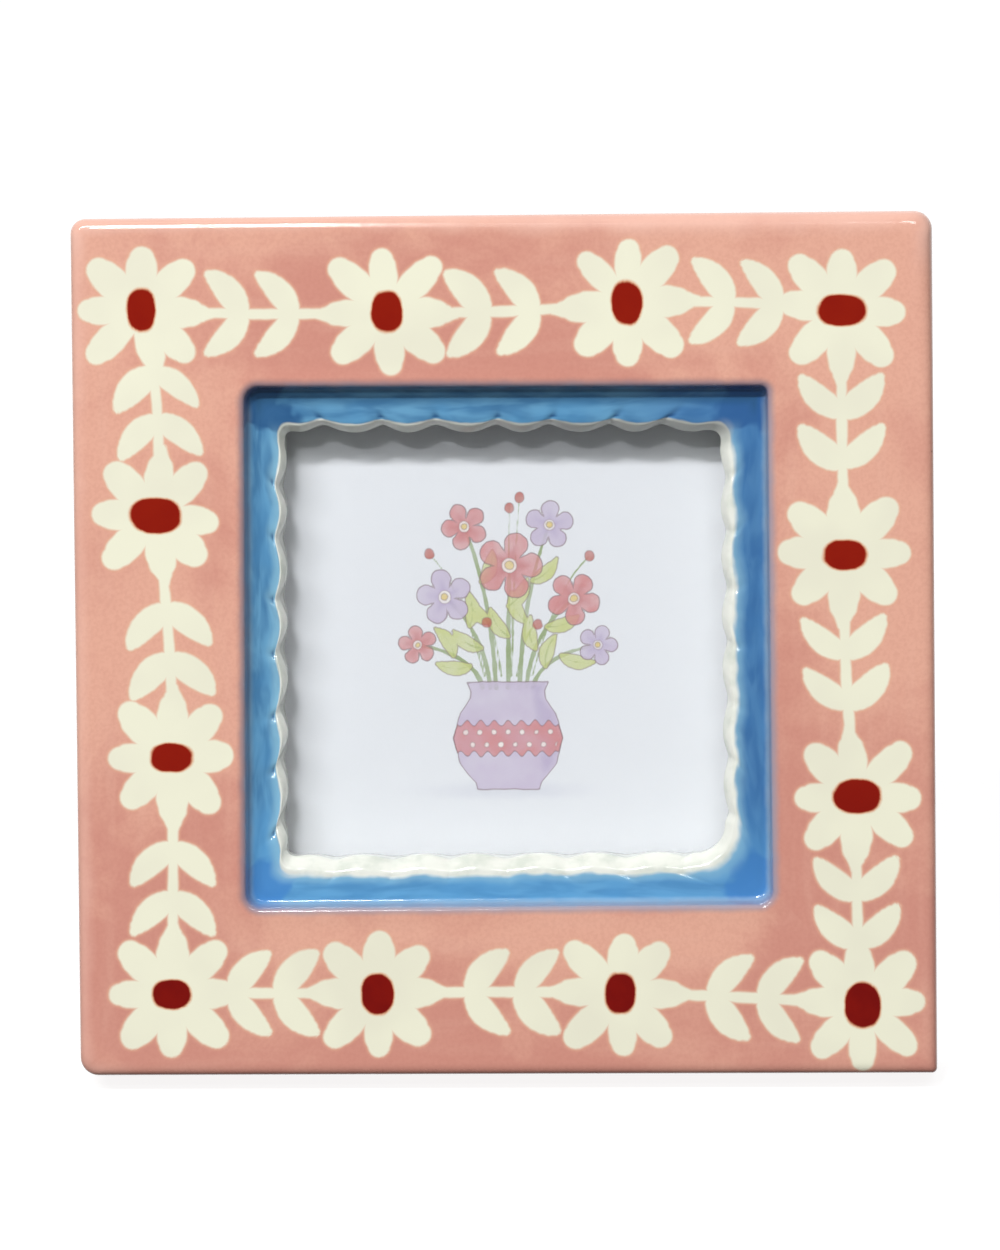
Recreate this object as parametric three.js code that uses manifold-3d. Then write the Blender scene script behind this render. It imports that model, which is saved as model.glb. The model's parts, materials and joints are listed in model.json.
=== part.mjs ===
// Ceramic photo frame that leans back on a hinged easel strut.
// Millimetres, +Z up. The picture faces -Y, and the origin lies on the table under the middle of the frame.

import * as THREE from 'three';
import { mergeVertices } from 'three/addons/utils/BufferGeometryUtils.js';
import Module from 'manifold-3d';

const wasm = await Module();
wasm.setup();

// Ceramic body, across its face from the window outwards
const OPENING = 76; // clear window, to the middle of the lip's waves
const LIP_WIDTH = 2;
const STEP_WIDTH = 6; // blue step between the lip and the rail
const RAIL_WIDTH = 29;
const LEDGE_WIDTH = 4.6; // shoulder behind the lip that the pane rests on
const RAIL_CORNER = 2.6;
const STEP_CORNER = 2.4;
const LIP_CORNER = 1.8;
const REBATE_CORNER = 2;
const LEAST_CORNER = 0.5; // no plan corner of a rounded edge is sharper

// Ceramic body, through its depth
const BODY_DEPTH = 18;
const FRONT_ROUND = 2.2;
const BACK_ROUND = 1.5;
const STEP_DEPTH = 3.6; // rail face down to the blue floor
const STEP_SLOPE = 0.6; // how far the step's wall leans in on its way down
const STEP_EDGE_ROUND = 0.7;
const STEP_FILLET = 0.9;

// Scalloped lip
const SCALLOP_PITCH = 10.2;
const SCALLOP_WAVE = 0.6; // how far a lobe or a pinch leaves the middle line
const LIP_FALL = 2.2; // slope under the lip, from the blue floor down to the window
const LIP_RISE = 1.4; // height of a lobe over that slope
const PINCH_SHARE = 0.4; // share of that height that a pinch presses down
const WALL_WAVE_SHARE = 0.5; // share of the wave that is left at the back of the window's wall

// Panels in the rebate
const PANE_THICKNESS = 2;
const CARD_THICKNESS = 0.4;
const BOARD_THICKNESS = 3;
const PANEL_CLEARANCE = 0.6;
const SEAT_GAP = 0.3; // play between pieces that lie on each other

// Turn buttons, each with a screw in a plug
const BUTTON_SPACING = 48; // from the upper pair to the lower pair
const BUTTON_INSET = 8; // pivot outside the rebate's edge
const BUTTON_THICKNESS = 1;
const BUTTON_HUB_RADIUS = 4.5;
const BUTTON_TIP_RADIUS = 3.2;
const BUTTON_REACH = 11.5; // from the pivot to the middle of the tip
const SCREW_SHANK_RADIUS = 1.4;
const SCREW_LENGTH = 9;
const SCREW_HEAD_RADIUS = 3;
const SCREW_HEAD_HEIGHT = 1.8;
const PLUG_WALL = 0.9;
const PLUG_TIP = 1.2; // closed end of the plug beyond the screw

// Hinge
const HINGE_DROP = 20; // pin below the board's upper edge
const LEAF_WIDTH = 22;
const LEAF_LENGTH = 14;
const LEAF_THICKNESS = 0.8;
const LEAF_CORNER = 2;
const MIDDLE_KNUCKLE = 8;
const KNUCKLE_RADIUS = 2.2;
const PIN_RADIUS = 1;
const LUG_LENGTH = 6; // stop lug beyond the pin
const RIVET_INSET = 5; // from a leaf's side edge
const RIVET_DISTANCE = 9; // from the pin
const RIVET_RADIUS = 1.1;
const RIVET_HEAD_RADIUS = 2.2;
const RIVET_HEAD_HEIGHT = 1;
const RIVET_TAIL_RADIUS = 1.9;
const RIVET_TAIL_HEIGHT = 0.6;

// Easel strut
const STRUT_TOP_WIDTH = 26;
const STRUT_FOOT_WIDTH = 42;
const STRUT_THICKNESS = 3;
const STRUT_TOP_CORNER = 4;
const STRUT_OPEN = THREE.MathUtils.degToRad(27);
const LEAN = THREE.MathUtils.degToRad(14);

// Facets
const CORNER_STEPS = 5;
const ROUND_STEPS = 4;
const BEAD_STEPS = 6;
const STEPS_PER_SCALLOP = 6;
const LATHE_STEPS = 20;

// Places that follow from the sizes above
const openingHalf = OPENING / 2;
const lipHalf = openingHalf + LIP_WIDTH;
const stepHalf = lipHalf + STEP_WIDTH;
const outerHalf = stepHalf + RAIL_WIDTH;
const rebateHalf = openingHalf + LEDGE_WIDTH;
const panelHalf = rebateHalf - PANEL_CLEARANCE;
const boardFront = BODY_DEPTH - BOARD_THICKNESS;
const cardFront = boardFront - SEAT_GAP - CARD_THICKNESS;
const paneFront = cardFront - SEAT_GAP - PANE_THICKNESS;
const ledgeDepth = paneFront - SEAT_GAP;
const pivotHalf = rebateHalf + BUTTON_INSET;
const buttonFront = BODY_DEPTH + SEAT_GAP;
const screwSeat = buttonFront + BUTTON_THICKNESS + SEAT_GAP;
const plugBore = SCREW_SHANK_RADIUS + SEAT_GAP;
const plugRadius = plugBore + PLUG_WALL;
const screwTip = screwSeat - SCREW_LENGTH;
const plugFront = screwTip - SEAT_GAP - PLUG_TIP;
const pinHeight = panelHalf - HINGE_DROP;
const pinDepth = BODY_DEPTH + SEAT_GAP + KNUCKLE_RADIUS;
const pinBore = PIN_RADIUS + SEAT_GAP;
const swingRadius = KNUCKLE_RADIUS + SEAT_GAP;
const strutFront = LEAF_THICKNESS / 2 + SEAT_GAP;

// Solids

function solid(geometry) {
  const bare = new THREE.BufferGeometry();
  bare.setAttribute('position', geometry.getAttribute('position'));
  bare.setIndex(geometry.index);
  const merged = mergeVertices(bare);
  const corners = merged.index.array;
  const triangles = [];
  for (let i = 0; i < corners.length; i += 3) {
    const [a, b, c] = corners.slice(i, i + 3);
    if (a !== b && b !== c && c !== a) triangles.push(a, b, c);
  }
  return new wasm.Manifold(new wasm.Mesh({
    numProp: 3,
    vertProperties: merged.getAttribute('position').array,
    triVerts: Uint32Array.from(triangles),
  }));
}

function geometryOf(manifold) {
  const mesh = manifold.getMesh();
  const geometry = new THREE.BufferGeometry();
  geometry.setAttribute('position', new THREE.BufferAttribute(mesh.vertProperties, 3));
  geometry.setIndex(new THREE.BufferAttribute(mesh.triVerts, 1));
  geometry.computeVertexNormals();
  return geometry;
}

const join = (first, ...others) => others.reduce((sum, other) => sum.add(other), first);
const cut = (first, ...others) => others.reduce((rest, other) => rest.subtract(other), first);

// Square ring with rounded corners at one depth. At the distance s along a side from its middle, wave(s)
// moves the edge outwards and press(s) moves it deeper; a corner keeps both as they are at the side's end.
// A station runs from 0 to 4 round the ring, one for each side and the corner after it.
function squareRing({ half, corner, depth, sideSteps = 1, wave = () => 0, press = () => 0 }) {
  const straight = half - corner;
  const points = [];
  const stations = [];
  for (let side = 0; side < 4; side++) {
    const turn = (side * Math.PI) / 2;
    const across = new THREE.Vector3(Math.cos(turn), 0, Math.sin(turn));
    const along = new THREE.Vector3(-Math.sin(turn), 0, Math.cos(turn));
    const add = (outwards, sideways, s, station) => {
      const point = new THREE.Vector3(0, depth + press(s), 0);
      points.push(point.addScaledVector(across, outwards).addScaledVector(along, sideways));
      stations.push(station);
    };
    for (let i = 0; i <= sideSteps; i++) {
      const s = straight * ((2 * i) / sideSteps - 1);
      add(half + wave(s), s, s, side + (0.5 * i) / sideSteps);
    }
    for (let i = 1; i < CORNER_STEPS; i++) {
      const angle = (i / CORNER_STEPS) * (Math.PI / 2);
      const radius = corner + wave(straight);
      const [outwards, sideways] = [radius * Math.cos(angle), radius * Math.sin(angle)];
      add(straight + outwards, straight + sideways, straight, side + 0.5 + (0.5 * i) / CORNER_STEPS);
    }
  }
  return { points, stations };
}

// Closed skin over a loop of square rings. Neighbours may have different numbers of steps along their
// sides: each strip walks both rings together and steps on the one that is behind.
function loft(rings) {
  const starts = rings.map((_, i) => rings.slice(0, i).reduce((sum, ring) => sum + ring.points.length, 0));
  const index = [];
  rings.forEach((ring, i) => {
    const j = (i + 1) % rings.length;
    const corner = (k, step) => starts[k] + (step % rings[k].points.length);
    const middle = (k, step) => (rings[k].stations[step] + (rings[k].stations[step + 1] ?? 4)) / 2;
    let here = 0;
    let there = 0;
    while (here < ring.points.length || there < rings[j].points.length) {
      const hereNext = here < ring.points.length ? middle(i, here) : Infinity;
      const thereNext = there < rings[j].points.length ? middle(j, there) : Infinity;
      if (hereNext <= thereNext) {
        index.push(corner(i, here), corner(i, here + 1), corner(j, there));
        here += 1;
      } else {
        index.push(corner(i, here), corner(j, there + 1), corner(j, there));
        there += 1;
      }
    }
  });
  const geometry = new THREE.BufferGeometry().setFromPoints(rings.flatMap((ring) => ring.points));
  geometry.setIndex(index);
  return geometry;
}

// Plate with its outline drawn in x and z, from one depth backwards.
function plate(outline, front, thickness) {
  const geometry = new THREE.ExtrudeGeometry(outline, {
    depth: thickness,
    bevelEnabled: false,
    curveSegments: ROUND_STEPS,
  });
  geometry.rotateX(Math.PI / 2);
  geometry.translate(0, front + thickness, 0);
  return geometry;
}

// Turned piece about the depth axis; profile points are (radius, depth), from the front to the back.
function turned(profile) {
  const points = profile.map(([radius, depth]) => new THREE.Vector2(radius, depth));
  return new THREE.LatheGeometry(points, LATHE_STEPS);
}

// Round bar along x.
function bar(radius, length, x = 0) {
  const geometry = new THREE.CylinderGeometry(radius, radius, length, LATHE_STEPS);
  geometry.rotateZ(Math.PI / 2);
  geometry.translate(x, 0, 0);
  return geometry;
}

function roundedRectangle(left, bottom, width, height, corner) {
  const right = left + width;
  const top = bottom + height;
  const shape = new THREE.Shape();
  shape.moveTo(left + corner, bottom);
  shape.absarc(right - corner, bottom + corner, corner, -Math.PI / 2, 0);
  shape.absarc(right - corner, top - corner, corner, 0, Math.PI / 2);
  shape.absarc(left + corner, top - corner, corner, Math.PI / 2, Math.PI);
  shape.absarc(left + corner, bottom + corner, corner, Math.PI, 1.5 * Math.PI);
  return shape;
}

function roundHole(x, z, radius) {
  const hole = new THREE.Path();
  hole.absarc(x, z, radius, 0, 2 * Math.PI, true);
  return hole;
}

// Dome of revolution from its rim to its top, as profile points.
function dome(radius, rimDepth, height) {
  return Array.from({ length: ROUND_STEPS + 1 }, (_, i) => {
    const angle = (i / ROUND_STEPS) * (Math.PI / 2);
    return [radius * Math.cos(angle), rimDepth + height * Math.sin(angle)];
  });
}

// Ceramic body: one section carried round the window, with its corners rounded by quadratic curves

function bodyRings() {
  const railCorner = (half) => Math.max(RAIL_CORNER - (outerHalf - half), LEAST_CORNER);
  const corners = [
    { half: rebateHalf, depth: ledgeDepth, round: 0, plan: () => REBATE_CORNER },
    { half: rebateHalf, depth: BODY_DEPTH, round: 0, plan: () => REBATE_CORNER },
    { half: outerHalf, depth: BODY_DEPTH, round: BACK_ROUND, plan: railCorner },
    { half: outerHalf, depth: 0, round: FRONT_ROUND, plan: railCorner },
    { half: stepHalf, depth: 0, round: STEP_EDGE_ROUND, plan: () => STEP_CORNER },
    { half: stepHalf - STEP_SLOPE, depth: STEP_DEPTH, round: STEP_FILLET, plan: () => STEP_CORNER },
    { half: lipHalf, depth: STEP_DEPTH },
  ];
  const place = ({ half, depth }) => new THREE.Vector2(half, depth);
  const ring = (point, plan) => squareRing({ half: point.x, corner: plan(point.x), depth: point.y });
  return corners.slice(0, -1).flatMap((corner, i) => {
    const here = place(corner);
    if (!corner.round) return [ring(here, corner.plan)];
    const before = place(corners[i - 1]).sub(here).setLength(corner.round).add(here);
    const after = place(corners[i + 1]).sub(here).setLength(corner.round).add(here);
    const curve = new THREE.QuadraticBezierCurve(before, here, after);
    return curve.getPoints(ROUND_STEPS).map((point) => ring(point, corner.plan));
  });
}

// 1 at a pinch of the lip and -1 at the crown of a lobe, with a pinch at the middle of each side.
const scallop = (s) => Math.cos((2 * Math.PI * s) / SCALLOP_PITCH);

// The lip: a bead that slopes from the blue floor to the window, then the window's wall back to the ledge.
function lipRings() {
  const straight = openingHalf - LIP_CORNER;
  const sideSteps = Math.round(((2 * straight) / SCALLOP_PITCH) * STEPS_PER_SCALLOP);
  const ring = (half, depth, share, rise) => squareRing({
    half,
    corner: half - straight,
    depth,
    sideSteps,
    wave: (s) => share * SCALLOP_WAVE * scallop(s),
    press: (s) => rise * (PINCH_SHARE * (1 + scallop(s)) / 2 - 1),
  });
  const bead = Array.from({ length: BEAD_STEPS + 1 }, (_, i) => {
    const angle = (i / BEAD_STEPS) * Math.PI;
    const inwards = (1 - Math.cos(angle)) / 2;
    const slope = STEP_DEPTH + LIP_FALL * inwards;
    return ring(lipHalf - LIP_WIDTH * inwards, slope, 1, LIP_RISE * Math.sin(angle));
  });
  const wallBack = ring(openingHalf, ledgeDepth, WALL_WAVE_SHARE, 0);
  return [...bead, wallBack];
}

const buttonPlaces = [
  ['upper_left', -1, 1],
  ['upper_right', 1, 1],
  ['lower_left', -1, -1],
  ['lower_right', 1, -1],
].map(([name, side, level]) => ({
  name,
  side,
  x: side * pivotHalf,
  z: (level * BUTTON_SPACING) / 2,
}));

function ceramicBody() {
  const plugHoles = buttonPlaces.map(({ x, z }) => {
    const radius = plugRadius + SEAT_GAP;
    const depth = BODY_DEPTH - plugFront + SEAT_GAP;
    const hole = new THREE.CylinderGeometry(radius, radius, 2 * depth, LATHE_STEPS);
    hole.translate(x, BODY_DEPTH, z);
    return solid(hole);
  });
  const cast = loft([...bodyRings(), ...lipRings()]);
  return geometryOf(cut(solid(cast), ...plugHoles));
}

// Panels

function panel(front, thickness) {
  const corner = Math.max(REBATE_CORNER - PANEL_CLEARANCE, LEAST_CORNER);
  const outline = roundedRectangle(-panelHalf, -panelHalf, 2 * panelHalf, 2 * panelHalf, corner);
  return plate(outline, front, thickness);
}

const rivetSides = [['left', RIVET_INSET - LEAF_WIDTH / 2], ['right', LEAF_WIDTH / 2 - RIVET_INSET]];

function backingBoard() {
  const holes = rivetSides.map(([, x]) => {
    const pocket = RIVET_TAIL_HEIGHT + 2 * SEAT_GAP;
    const drill = turned([
      [0, boardFront - SEAT_GAP],
      [RIVET_TAIL_RADIUS + SEAT_GAP, boardFront - SEAT_GAP],
      [RIVET_TAIL_RADIUS + SEAT_GAP, boardFront + pocket],
      [RIVET_RADIUS + SEAT_GAP, boardFront + pocket],
      [RIVET_RADIUS + SEAT_GAP, BODY_DEPTH + SEAT_GAP],
      [0, BODY_DEPTH + SEAT_GAP],
    ]);
    drill.translate(x, 0, pinHeight + RIVET_DISTANCE);
    return solid(drill);
  });
  return geometryOf(cut(solid(panel(boardFront, BOARD_THICKNESS)), ...holes));
}

// Turn buttons, screws and plugs

function turnButton(side) {
  const outline = new THREE.Shape();
  const flank = Math.acos((BUTTON_HUB_RADIUS - BUTTON_TIP_RADIUS) / BUTTON_REACH);
  outline.absarc(0, 0, BUTTON_HUB_RADIUS, flank, 2 * Math.PI - flank);
  outline.absarc(BUTTON_REACH, 0, BUTTON_TIP_RADIUS, -flank, flank);
  outline.holes.push(roundHole(0, 0, SCREW_SHANK_RADIUS + SEAT_GAP));
  const geometry = plate(outline, buttonFront, BUTTON_THICKNESS);
  if (side > 0) geometry.rotateY(Math.PI);
  return geometry;
}

function screw() {
  return turned([
    [0, screwTip],
    [SCREW_SHANK_RADIUS, screwTip],
    [SCREW_SHANK_RADIUS, screwSeat],
    ...dome(SCREW_HEAD_RADIUS, screwSeat, SCREW_HEAD_HEIGHT),
  ]);
}

function plug() {
  return turned([
    [0, plugFront],
    [plugRadius, plugFront],
    [plugRadius, BODY_DEPTH],
    [plugBore, BODY_DEPTH],
    [plugBore, plugFront + PLUG_TIP],
    [0, plugFront + PLUG_TIP],
  ]);
}

// Hinge, with the pin's axis as the origin. The board's leaf stands above it, and the strut's leaf hangs
// below it as it does with the strut folded flat.

function boardLeaf() {
  const front = -KNUCKLE_RADIUS;
  const outline = roundedRectangle(-LEAF_WIDTH / 2, 0, LEAF_WIDTH, LEAF_LENGTH, LEAF_CORNER);
  rivetSides.forEach(([, x]) => outline.holes.push(roundHole(x, RIVET_DISTANCE, RIVET_RADIUS + SEAT_GAP)));
  const sideKnuckle = (LEAF_WIDTH - MIDDLE_KNUCKLE) / 2 - SEAT_GAP;
  const knuckleMiddle = (LEAF_WIDTH - sideKnuckle) / 2;
  const knuckles = [-1, 1].map((side) => solid(bar(KNUCKLE_RADIUS, sideKnuckle, side * knuckleMiddle)));
  const notch = bar(swingRadius, MIDDLE_KNUCKLE + 2 * SEAT_GAP);
  const bore = bar(pinBore, 2 * LEAF_WIDTH);
  const flat = cut(solid(plate(outline, front, LEAF_THICKNESS)), solid(notch));
  return geometryOf(cut(join(flat, ...knuckles), solid(bore)));
}

function strutLeaf() {
  const front = -LEAF_THICKNESS / 2;
  const height = LEAF_LENGTH - swingRadius;
  const outline = roundedRectangle(-LEAF_WIDTH / 2, -LEAF_LENGTH, LEAF_WIDTH, height, LEAF_CORNER);
  rivetSides.forEach(([, x]) => outline.holes.push(roundHole(x, -RIVET_DISTANCE, RIVET_RADIUS + SEAT_GAP)));
  const neckLength = swingRadius + LEAF_CORNER;
  const neck = new THREE.BoxGeometry(MIDDLE_KNUCKLE, LEAF_THICKNESS, neckLength);
  neck.translate(0, 0, -neckLength / 2);
  const knuckle = bar(KNUCKLE_RADIUS, MIDDLE_KNUCKLE);
  const lug = new THREE.BoxGeometry(MIDDLE_KNUCKLE, LEAF_THICKNESS, LUG_LENGTH);
  lug.translate(0, LEAF_THICKNESS * 1.5 + SEAT_GAP - KNUCKLE_RADIUS, LUG_LENGTH / 2);
  lug.rotateX(-STRUT_OPEN);
  const bore = bar(pinBore, 2 * LEAF_WIDTH);
  const whole = join(solid(plate(outline, front, LEAF_THICKNESS)), solid(neck), solid(knuckle), solid(lug));
  return geometryOf(cut(whole, solid(bore)));
}

// Rivet through a stack of the given depths, with its head at the back.
function rivet(stackFront, stackBack) {
  const tail = stackFront - SEAT_GAP;
  return turned([
    [0, tail - RIVET_TAIL_HEIGHT],
    [RIVET_TAIL_RADIUS, tail - RIVET_TAIL_HEIGHT],
    [RIVET_TAIL_RADIUS, tail],
    [RIVET_RADIUS, tail],
    [RIVET_RADIUS, stackBack + SEAT_GAP],
    ...dome(RIVET_HEAD_RADIUS, stackBack + SEAT_GAP, RIVET_HEAD_HEIGHT),
  ]);
}

// Strut about the pin's axis, folded flat, with its foot sawn off along the table.
function easelStrut(reach, table) {
  const top = -swingRadius;
  const taper = (STRUT_FOOT_WIDTH - STRUT_TOP_WIDTH) / 2 / (reach + top);
  const spare = 2 * STRUT_THICKNESS;
  const topHalf = STRUT_TOP_WIDTH / 2;
  const footHalf = STRUT_FOOT_WIDTH / 2 + taper * spare;
  const foot = -reach - spare;
  const outline = new THREE.Shape();
  outline.moveTo(-footHalf, foot);
  outline.lineTo(footHalf, foot);
  outline.lineTo(topHalf + taper * STRUT_TOP_CORNER, top - STRUT_TOP_CORNER);
  outline.quadraticCurveTo(topHalf, top, topHalf - STRUT_TOP_CORNER, top);
  outline.lineTo(STRUT_TOP_CORNER - topHalf, top);
  outline.quadraticCurveTo(-topHalf, top, -topHalf - taper * STRUT_TOP_CORNER, top - STRUT_TOP_CORNER);
  rivetSides.forEach(([, x]) => outline.holes.push(roundHole(x, -RIVET_DISTANCE, RIVET_RADIUS + SEAT_GAP)));
  return geometryOf(cut(solid(plate(outline, strutFront, STRUT_THICKNESS)), solid(table)));
}

// Assembly

const glaze = { color: 0xde9d8e, roughness: 0.15, metalness: 0 };
const glass = { color: 0xeef4f2, roughness: 0.05, metalness: 0 };
const paper = { color: 0xe9edf0, roughness: 0.8, metalness: 0 };
const flock = { color: 0x1d1c1e, roughness: 0.95, metalness: 0 };
const brass = { color: 0xc9a65a, roughness: 0.3, metalness: 1 };
const steel = { color: 0xb9bbbd, roughness: 0.3, metalness: 1 };
const nylon = { color: 0xe4e1d6, roughness: 0.6, metalness: 0 };

function addPiece(parent, name, geometry, look) {
  const mesh = new THREE.Mesh(geometry, new THREE.MeshStandardMaterial(look));
  mesh.name = name;
  parent.add(mesh);
  return mesh;
}

const photoFrame = new THREE.Group();
const leaning = new THREE.Group();
leaning.rotation.x = -LEAN;
photoFrame.add(leaning);

const ceramic = addPiece(leaning, 'ceramic_frame', ceramicBody(), glaze);
addPiece(leaning, 'glazing_pane', panel(paneFront, PANE_THICKNESS), glass);
addPiece(leaning, 'picture_card', panel(cardFront, CARD_THICKNESS), paper);
addPiece(leaning, 'backing_board', backingBoard(), flock);

buttonPlaces.forEach(({ name, side, x, z }) => {
  addPiece(leaning, `turn_button_${name}`, turnButton(side), brass).position.set(x, 0, z);
  addPiece(leaning, `button_screw_${name}`, screw(), brass).position.set(x, 0, z);
  addPiece(leaning, `screw_plug_${name}`, plug(), nylon).position.set(x, 0, z);
});

const hinge = new THREE.Group();
hinge.position.set(0, pinDepth, pinHeight);
leaning.add(hinge);
addPiece(hinge, 'hinge_board_leaf', boardLeaf(), steel);
addPiece(hinge, 'hinge_pin', bar(PIN_RADIUS, LEAF_WIDTH), steel);
rivetSides.forEach(([side, x]) => {
  const stackFront = boardFront + RIVET_TAIL_HEIGHT + 2 * SEAT_GAP;
  const stackBack = BODY_DEPTH + SEAT_GAP + LEAF_THICKNESS;
  const piece = rivet(stackFront - pinDepth, stackBack - pinDepth);
  addPiece(hinge, `board_rivet_${side}`, piece, steel).position.set(x, 0, RIVET_DISTANCE);
});

const strut = new THREE.Group();
strut.rotation.x = STRUT_OPEN;
hinge.add(strut);
photoFrame.updateMatrixWorld(true);

const tableHeight = new THREE.Box3().setFromObject(ceramic, true).min.z;
const pinOverTable = strut.getWorldPosition(new THREE.Vector3()).z - tableHeight;
const strutReach = pinOverTable / Math.cos(STRUT_OPEN - LEAN);
const table = new THREE.BoxGeometry(4 * outerHalf, 4 * outerHalf, outerHalf);
table.translate(0, 0, tableHeight - outerHalf / 2);
table.applyMatrix4(strut.matrixWorld.clone().invert());

addPiece(strut, 'easel_strut', easelStrut(strutReach, table), flock);
addPiece(strut, 'hinge_strut_leaf', strutLeaf(), steel);
rivetSides.forEach(([side, x]) => {
  const piece = rivet(-LEAF_THICKNESS / 2, strutFront + STRUT_THICKNESS);
  addPiece(strut, `strut_rivet_${side}`, piece, steel).position.set(x, 0, -RIVET_DISTANCE);
});

// Stand the frame on the table with the origin under the middle of its box.
photoFrame.updateMatrixWorld(true);
const box = new THREE.Box3().setFromObject(photoFrame, true);
leaning.position.y = -(box.min.y + box.max.y) / 2;
leaning.position.z = -box.min.z;

export default photoFrame;
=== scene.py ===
"""Looks of the ceramic photo frame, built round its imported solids.

Lengths are in millimetres until a mesh is made. Shapes are first worked out on the frame's own face, as
(x, height, depth) from the middle of the face, with x to the right, height up the face and depth towards the
back; stand() then leans them back as the solids do.
"""

import json
import math

import bpy
import numpy as np
from mathutils import Matrix, Vector


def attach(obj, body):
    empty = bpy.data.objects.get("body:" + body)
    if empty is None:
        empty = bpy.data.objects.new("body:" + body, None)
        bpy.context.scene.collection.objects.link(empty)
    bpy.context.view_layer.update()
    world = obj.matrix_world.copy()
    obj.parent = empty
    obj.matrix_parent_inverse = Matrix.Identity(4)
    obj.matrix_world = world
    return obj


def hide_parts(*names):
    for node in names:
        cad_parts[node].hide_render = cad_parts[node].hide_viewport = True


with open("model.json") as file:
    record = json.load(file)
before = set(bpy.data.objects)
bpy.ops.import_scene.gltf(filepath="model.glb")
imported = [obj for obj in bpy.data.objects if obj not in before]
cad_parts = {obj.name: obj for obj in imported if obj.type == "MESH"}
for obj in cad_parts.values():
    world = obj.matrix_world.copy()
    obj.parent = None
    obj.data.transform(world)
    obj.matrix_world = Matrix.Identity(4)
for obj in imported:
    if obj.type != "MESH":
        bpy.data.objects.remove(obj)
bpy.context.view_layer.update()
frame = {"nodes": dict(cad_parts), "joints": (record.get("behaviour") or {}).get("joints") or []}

MM = 0.001

# Ceramic body
OPENING_HALF = 38.35
LIP_FOOT_HALF = 40.15
STEP_HALF = 46.0
OUTER_HALF = 75.0
REBATE_HALF = 42.6
BODY_DEPTH = 18.0
LEDGE_DEPTH = 11.7
STEP_DEPTH = 3.6
STEP_SLOPE = 0.6
FRONT_ROUND = 3.2  # where it is broadest, at the upper right
EDGE_ROUND = 2.2
EDGE_GROWS_UP = (40.0, 72.0)  # heights and places across between which the front edge grows rounder
EDGE_GROWS_RIGHT = (-50.0, 60.0)
BACK_ROUND = 1.53
REBATE_ROUND = 0.4
STEP_EDGE_ROUND = 0.7
STEP_FILLET = 0.9
RAIL_CORNERS = (3.2, 2.6, 3.2, 0.9)  # from the upper right against the clock
STEP_CORNERS = (1.2, 2.4, 2.6, 2.4)
PAINT_CORNERS = (1.2, 2.6, 2.8, 2.8)  # of the edge between rose and blue
REBATE_CORNER = 2.0
UNEVEN = 0.12  # slow hand-made waves of the rail's face
UNEVEN_START = 4.0  # from the step's edge to where they are full
WINDOW_DRIFTS = ((0.38, -0.98), (1.14, -0.43), (0.46, 0.24), (0.69, 0.61))  # corners in the same order
SIDE_STEPS = 184
CORNER_STEPS = 8

# Scalloped lip
OPENING_CORNERS = (2.2, 1.6, 1.8, 5.5)  # from the upper right against the clock
LIP_FOOT_CORNERS = (2.6, 2.2, 2.4, 8.0)
OPENING_SHIFT = (-0.85, 0.5)
LIP_FOOT_SHIFT = (-0.45, -0.3)
OPENING_STRETCH = 0.0105  # wider and lower than a square by this share
SCALLOP_PITCH = 10.2
PITCH_SWING = 0.4  # unevenness of the pitch, and how fast it comes and goes
PITCH_RATE = 0.3
CORNER_START = 0.93  # share of a side where its last lobe begins to turn into the corner
CORNER_WAVE = -0.6
SCALLOP_WAVE = 0.7
FOOT_WAVE = 0.4
PINCH_OFFSETS = (0.0, 1.4, 1.3, 0.15)  # along the right, upper, left and lower side
PINCH_SOFTNESS = 0.04
PINCH_SHARE = 0.45  # of the lip's crest that a pinch takes away
LIP_CREST = 0.6
FLUSH = 0.8  # share of the crest that is missing to the right and below
CREST_SHARE = 0.34  # of the way in from the foot to the crest
LIP_FALL = 2.4
FALL_POWER = 2.1
UPPER_FALL_POWER = 1.2
GROOVE_DEPTH = 0.65
GROOVE_REACH = 1.1
GROOVE_SHARPNESS = 16.0
FLOOR_ROWS = 10
BEAD_ROWS = 16
BEAD_GROWTH = 1.3  # power that draws the bead's rows together at its foot
WALL_LEVELS = (0.15, 0.4, 0.7, 1.0)  # shares of the way back from the lip to the ledge
WALL_WAVE_LOSS = 0.5  # share of the wave that is gone at the ledge
SOFT_RANGE = (-4.0, 8.0)  # from the standing to the flush sides, across their diagonal
UPPER_RANGE = (30.0, 39.0)  # heights between which the upper side begins
# Shares that the flush sides lose of the wave, the crease and the pinch, and the upper side of the crest
FLUSH_WAVE = 0.35
FLUSH_CREASE = 0.5
FLUSH_PINCH = 0.6
UPPER_CREST = 0.4

# Slabs
CORNER_LINES = 6
PANEL_STEPS = 8
CARD_STEPS = 12

# Panels in the rebate
PANEL_HALF = 42.0
PANEL_CORNER = 1.4
PANE_FRONT = 12.0
PANE_BACK = 14.0
PANE_EDGE = 0.25
CARD_FRONT = 14.3
CARD_BACK = 14.7
CARD_EDGE = 0.08
BOARD_FRONT = 15.0
BOARD_EDGE = 0.5

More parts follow.
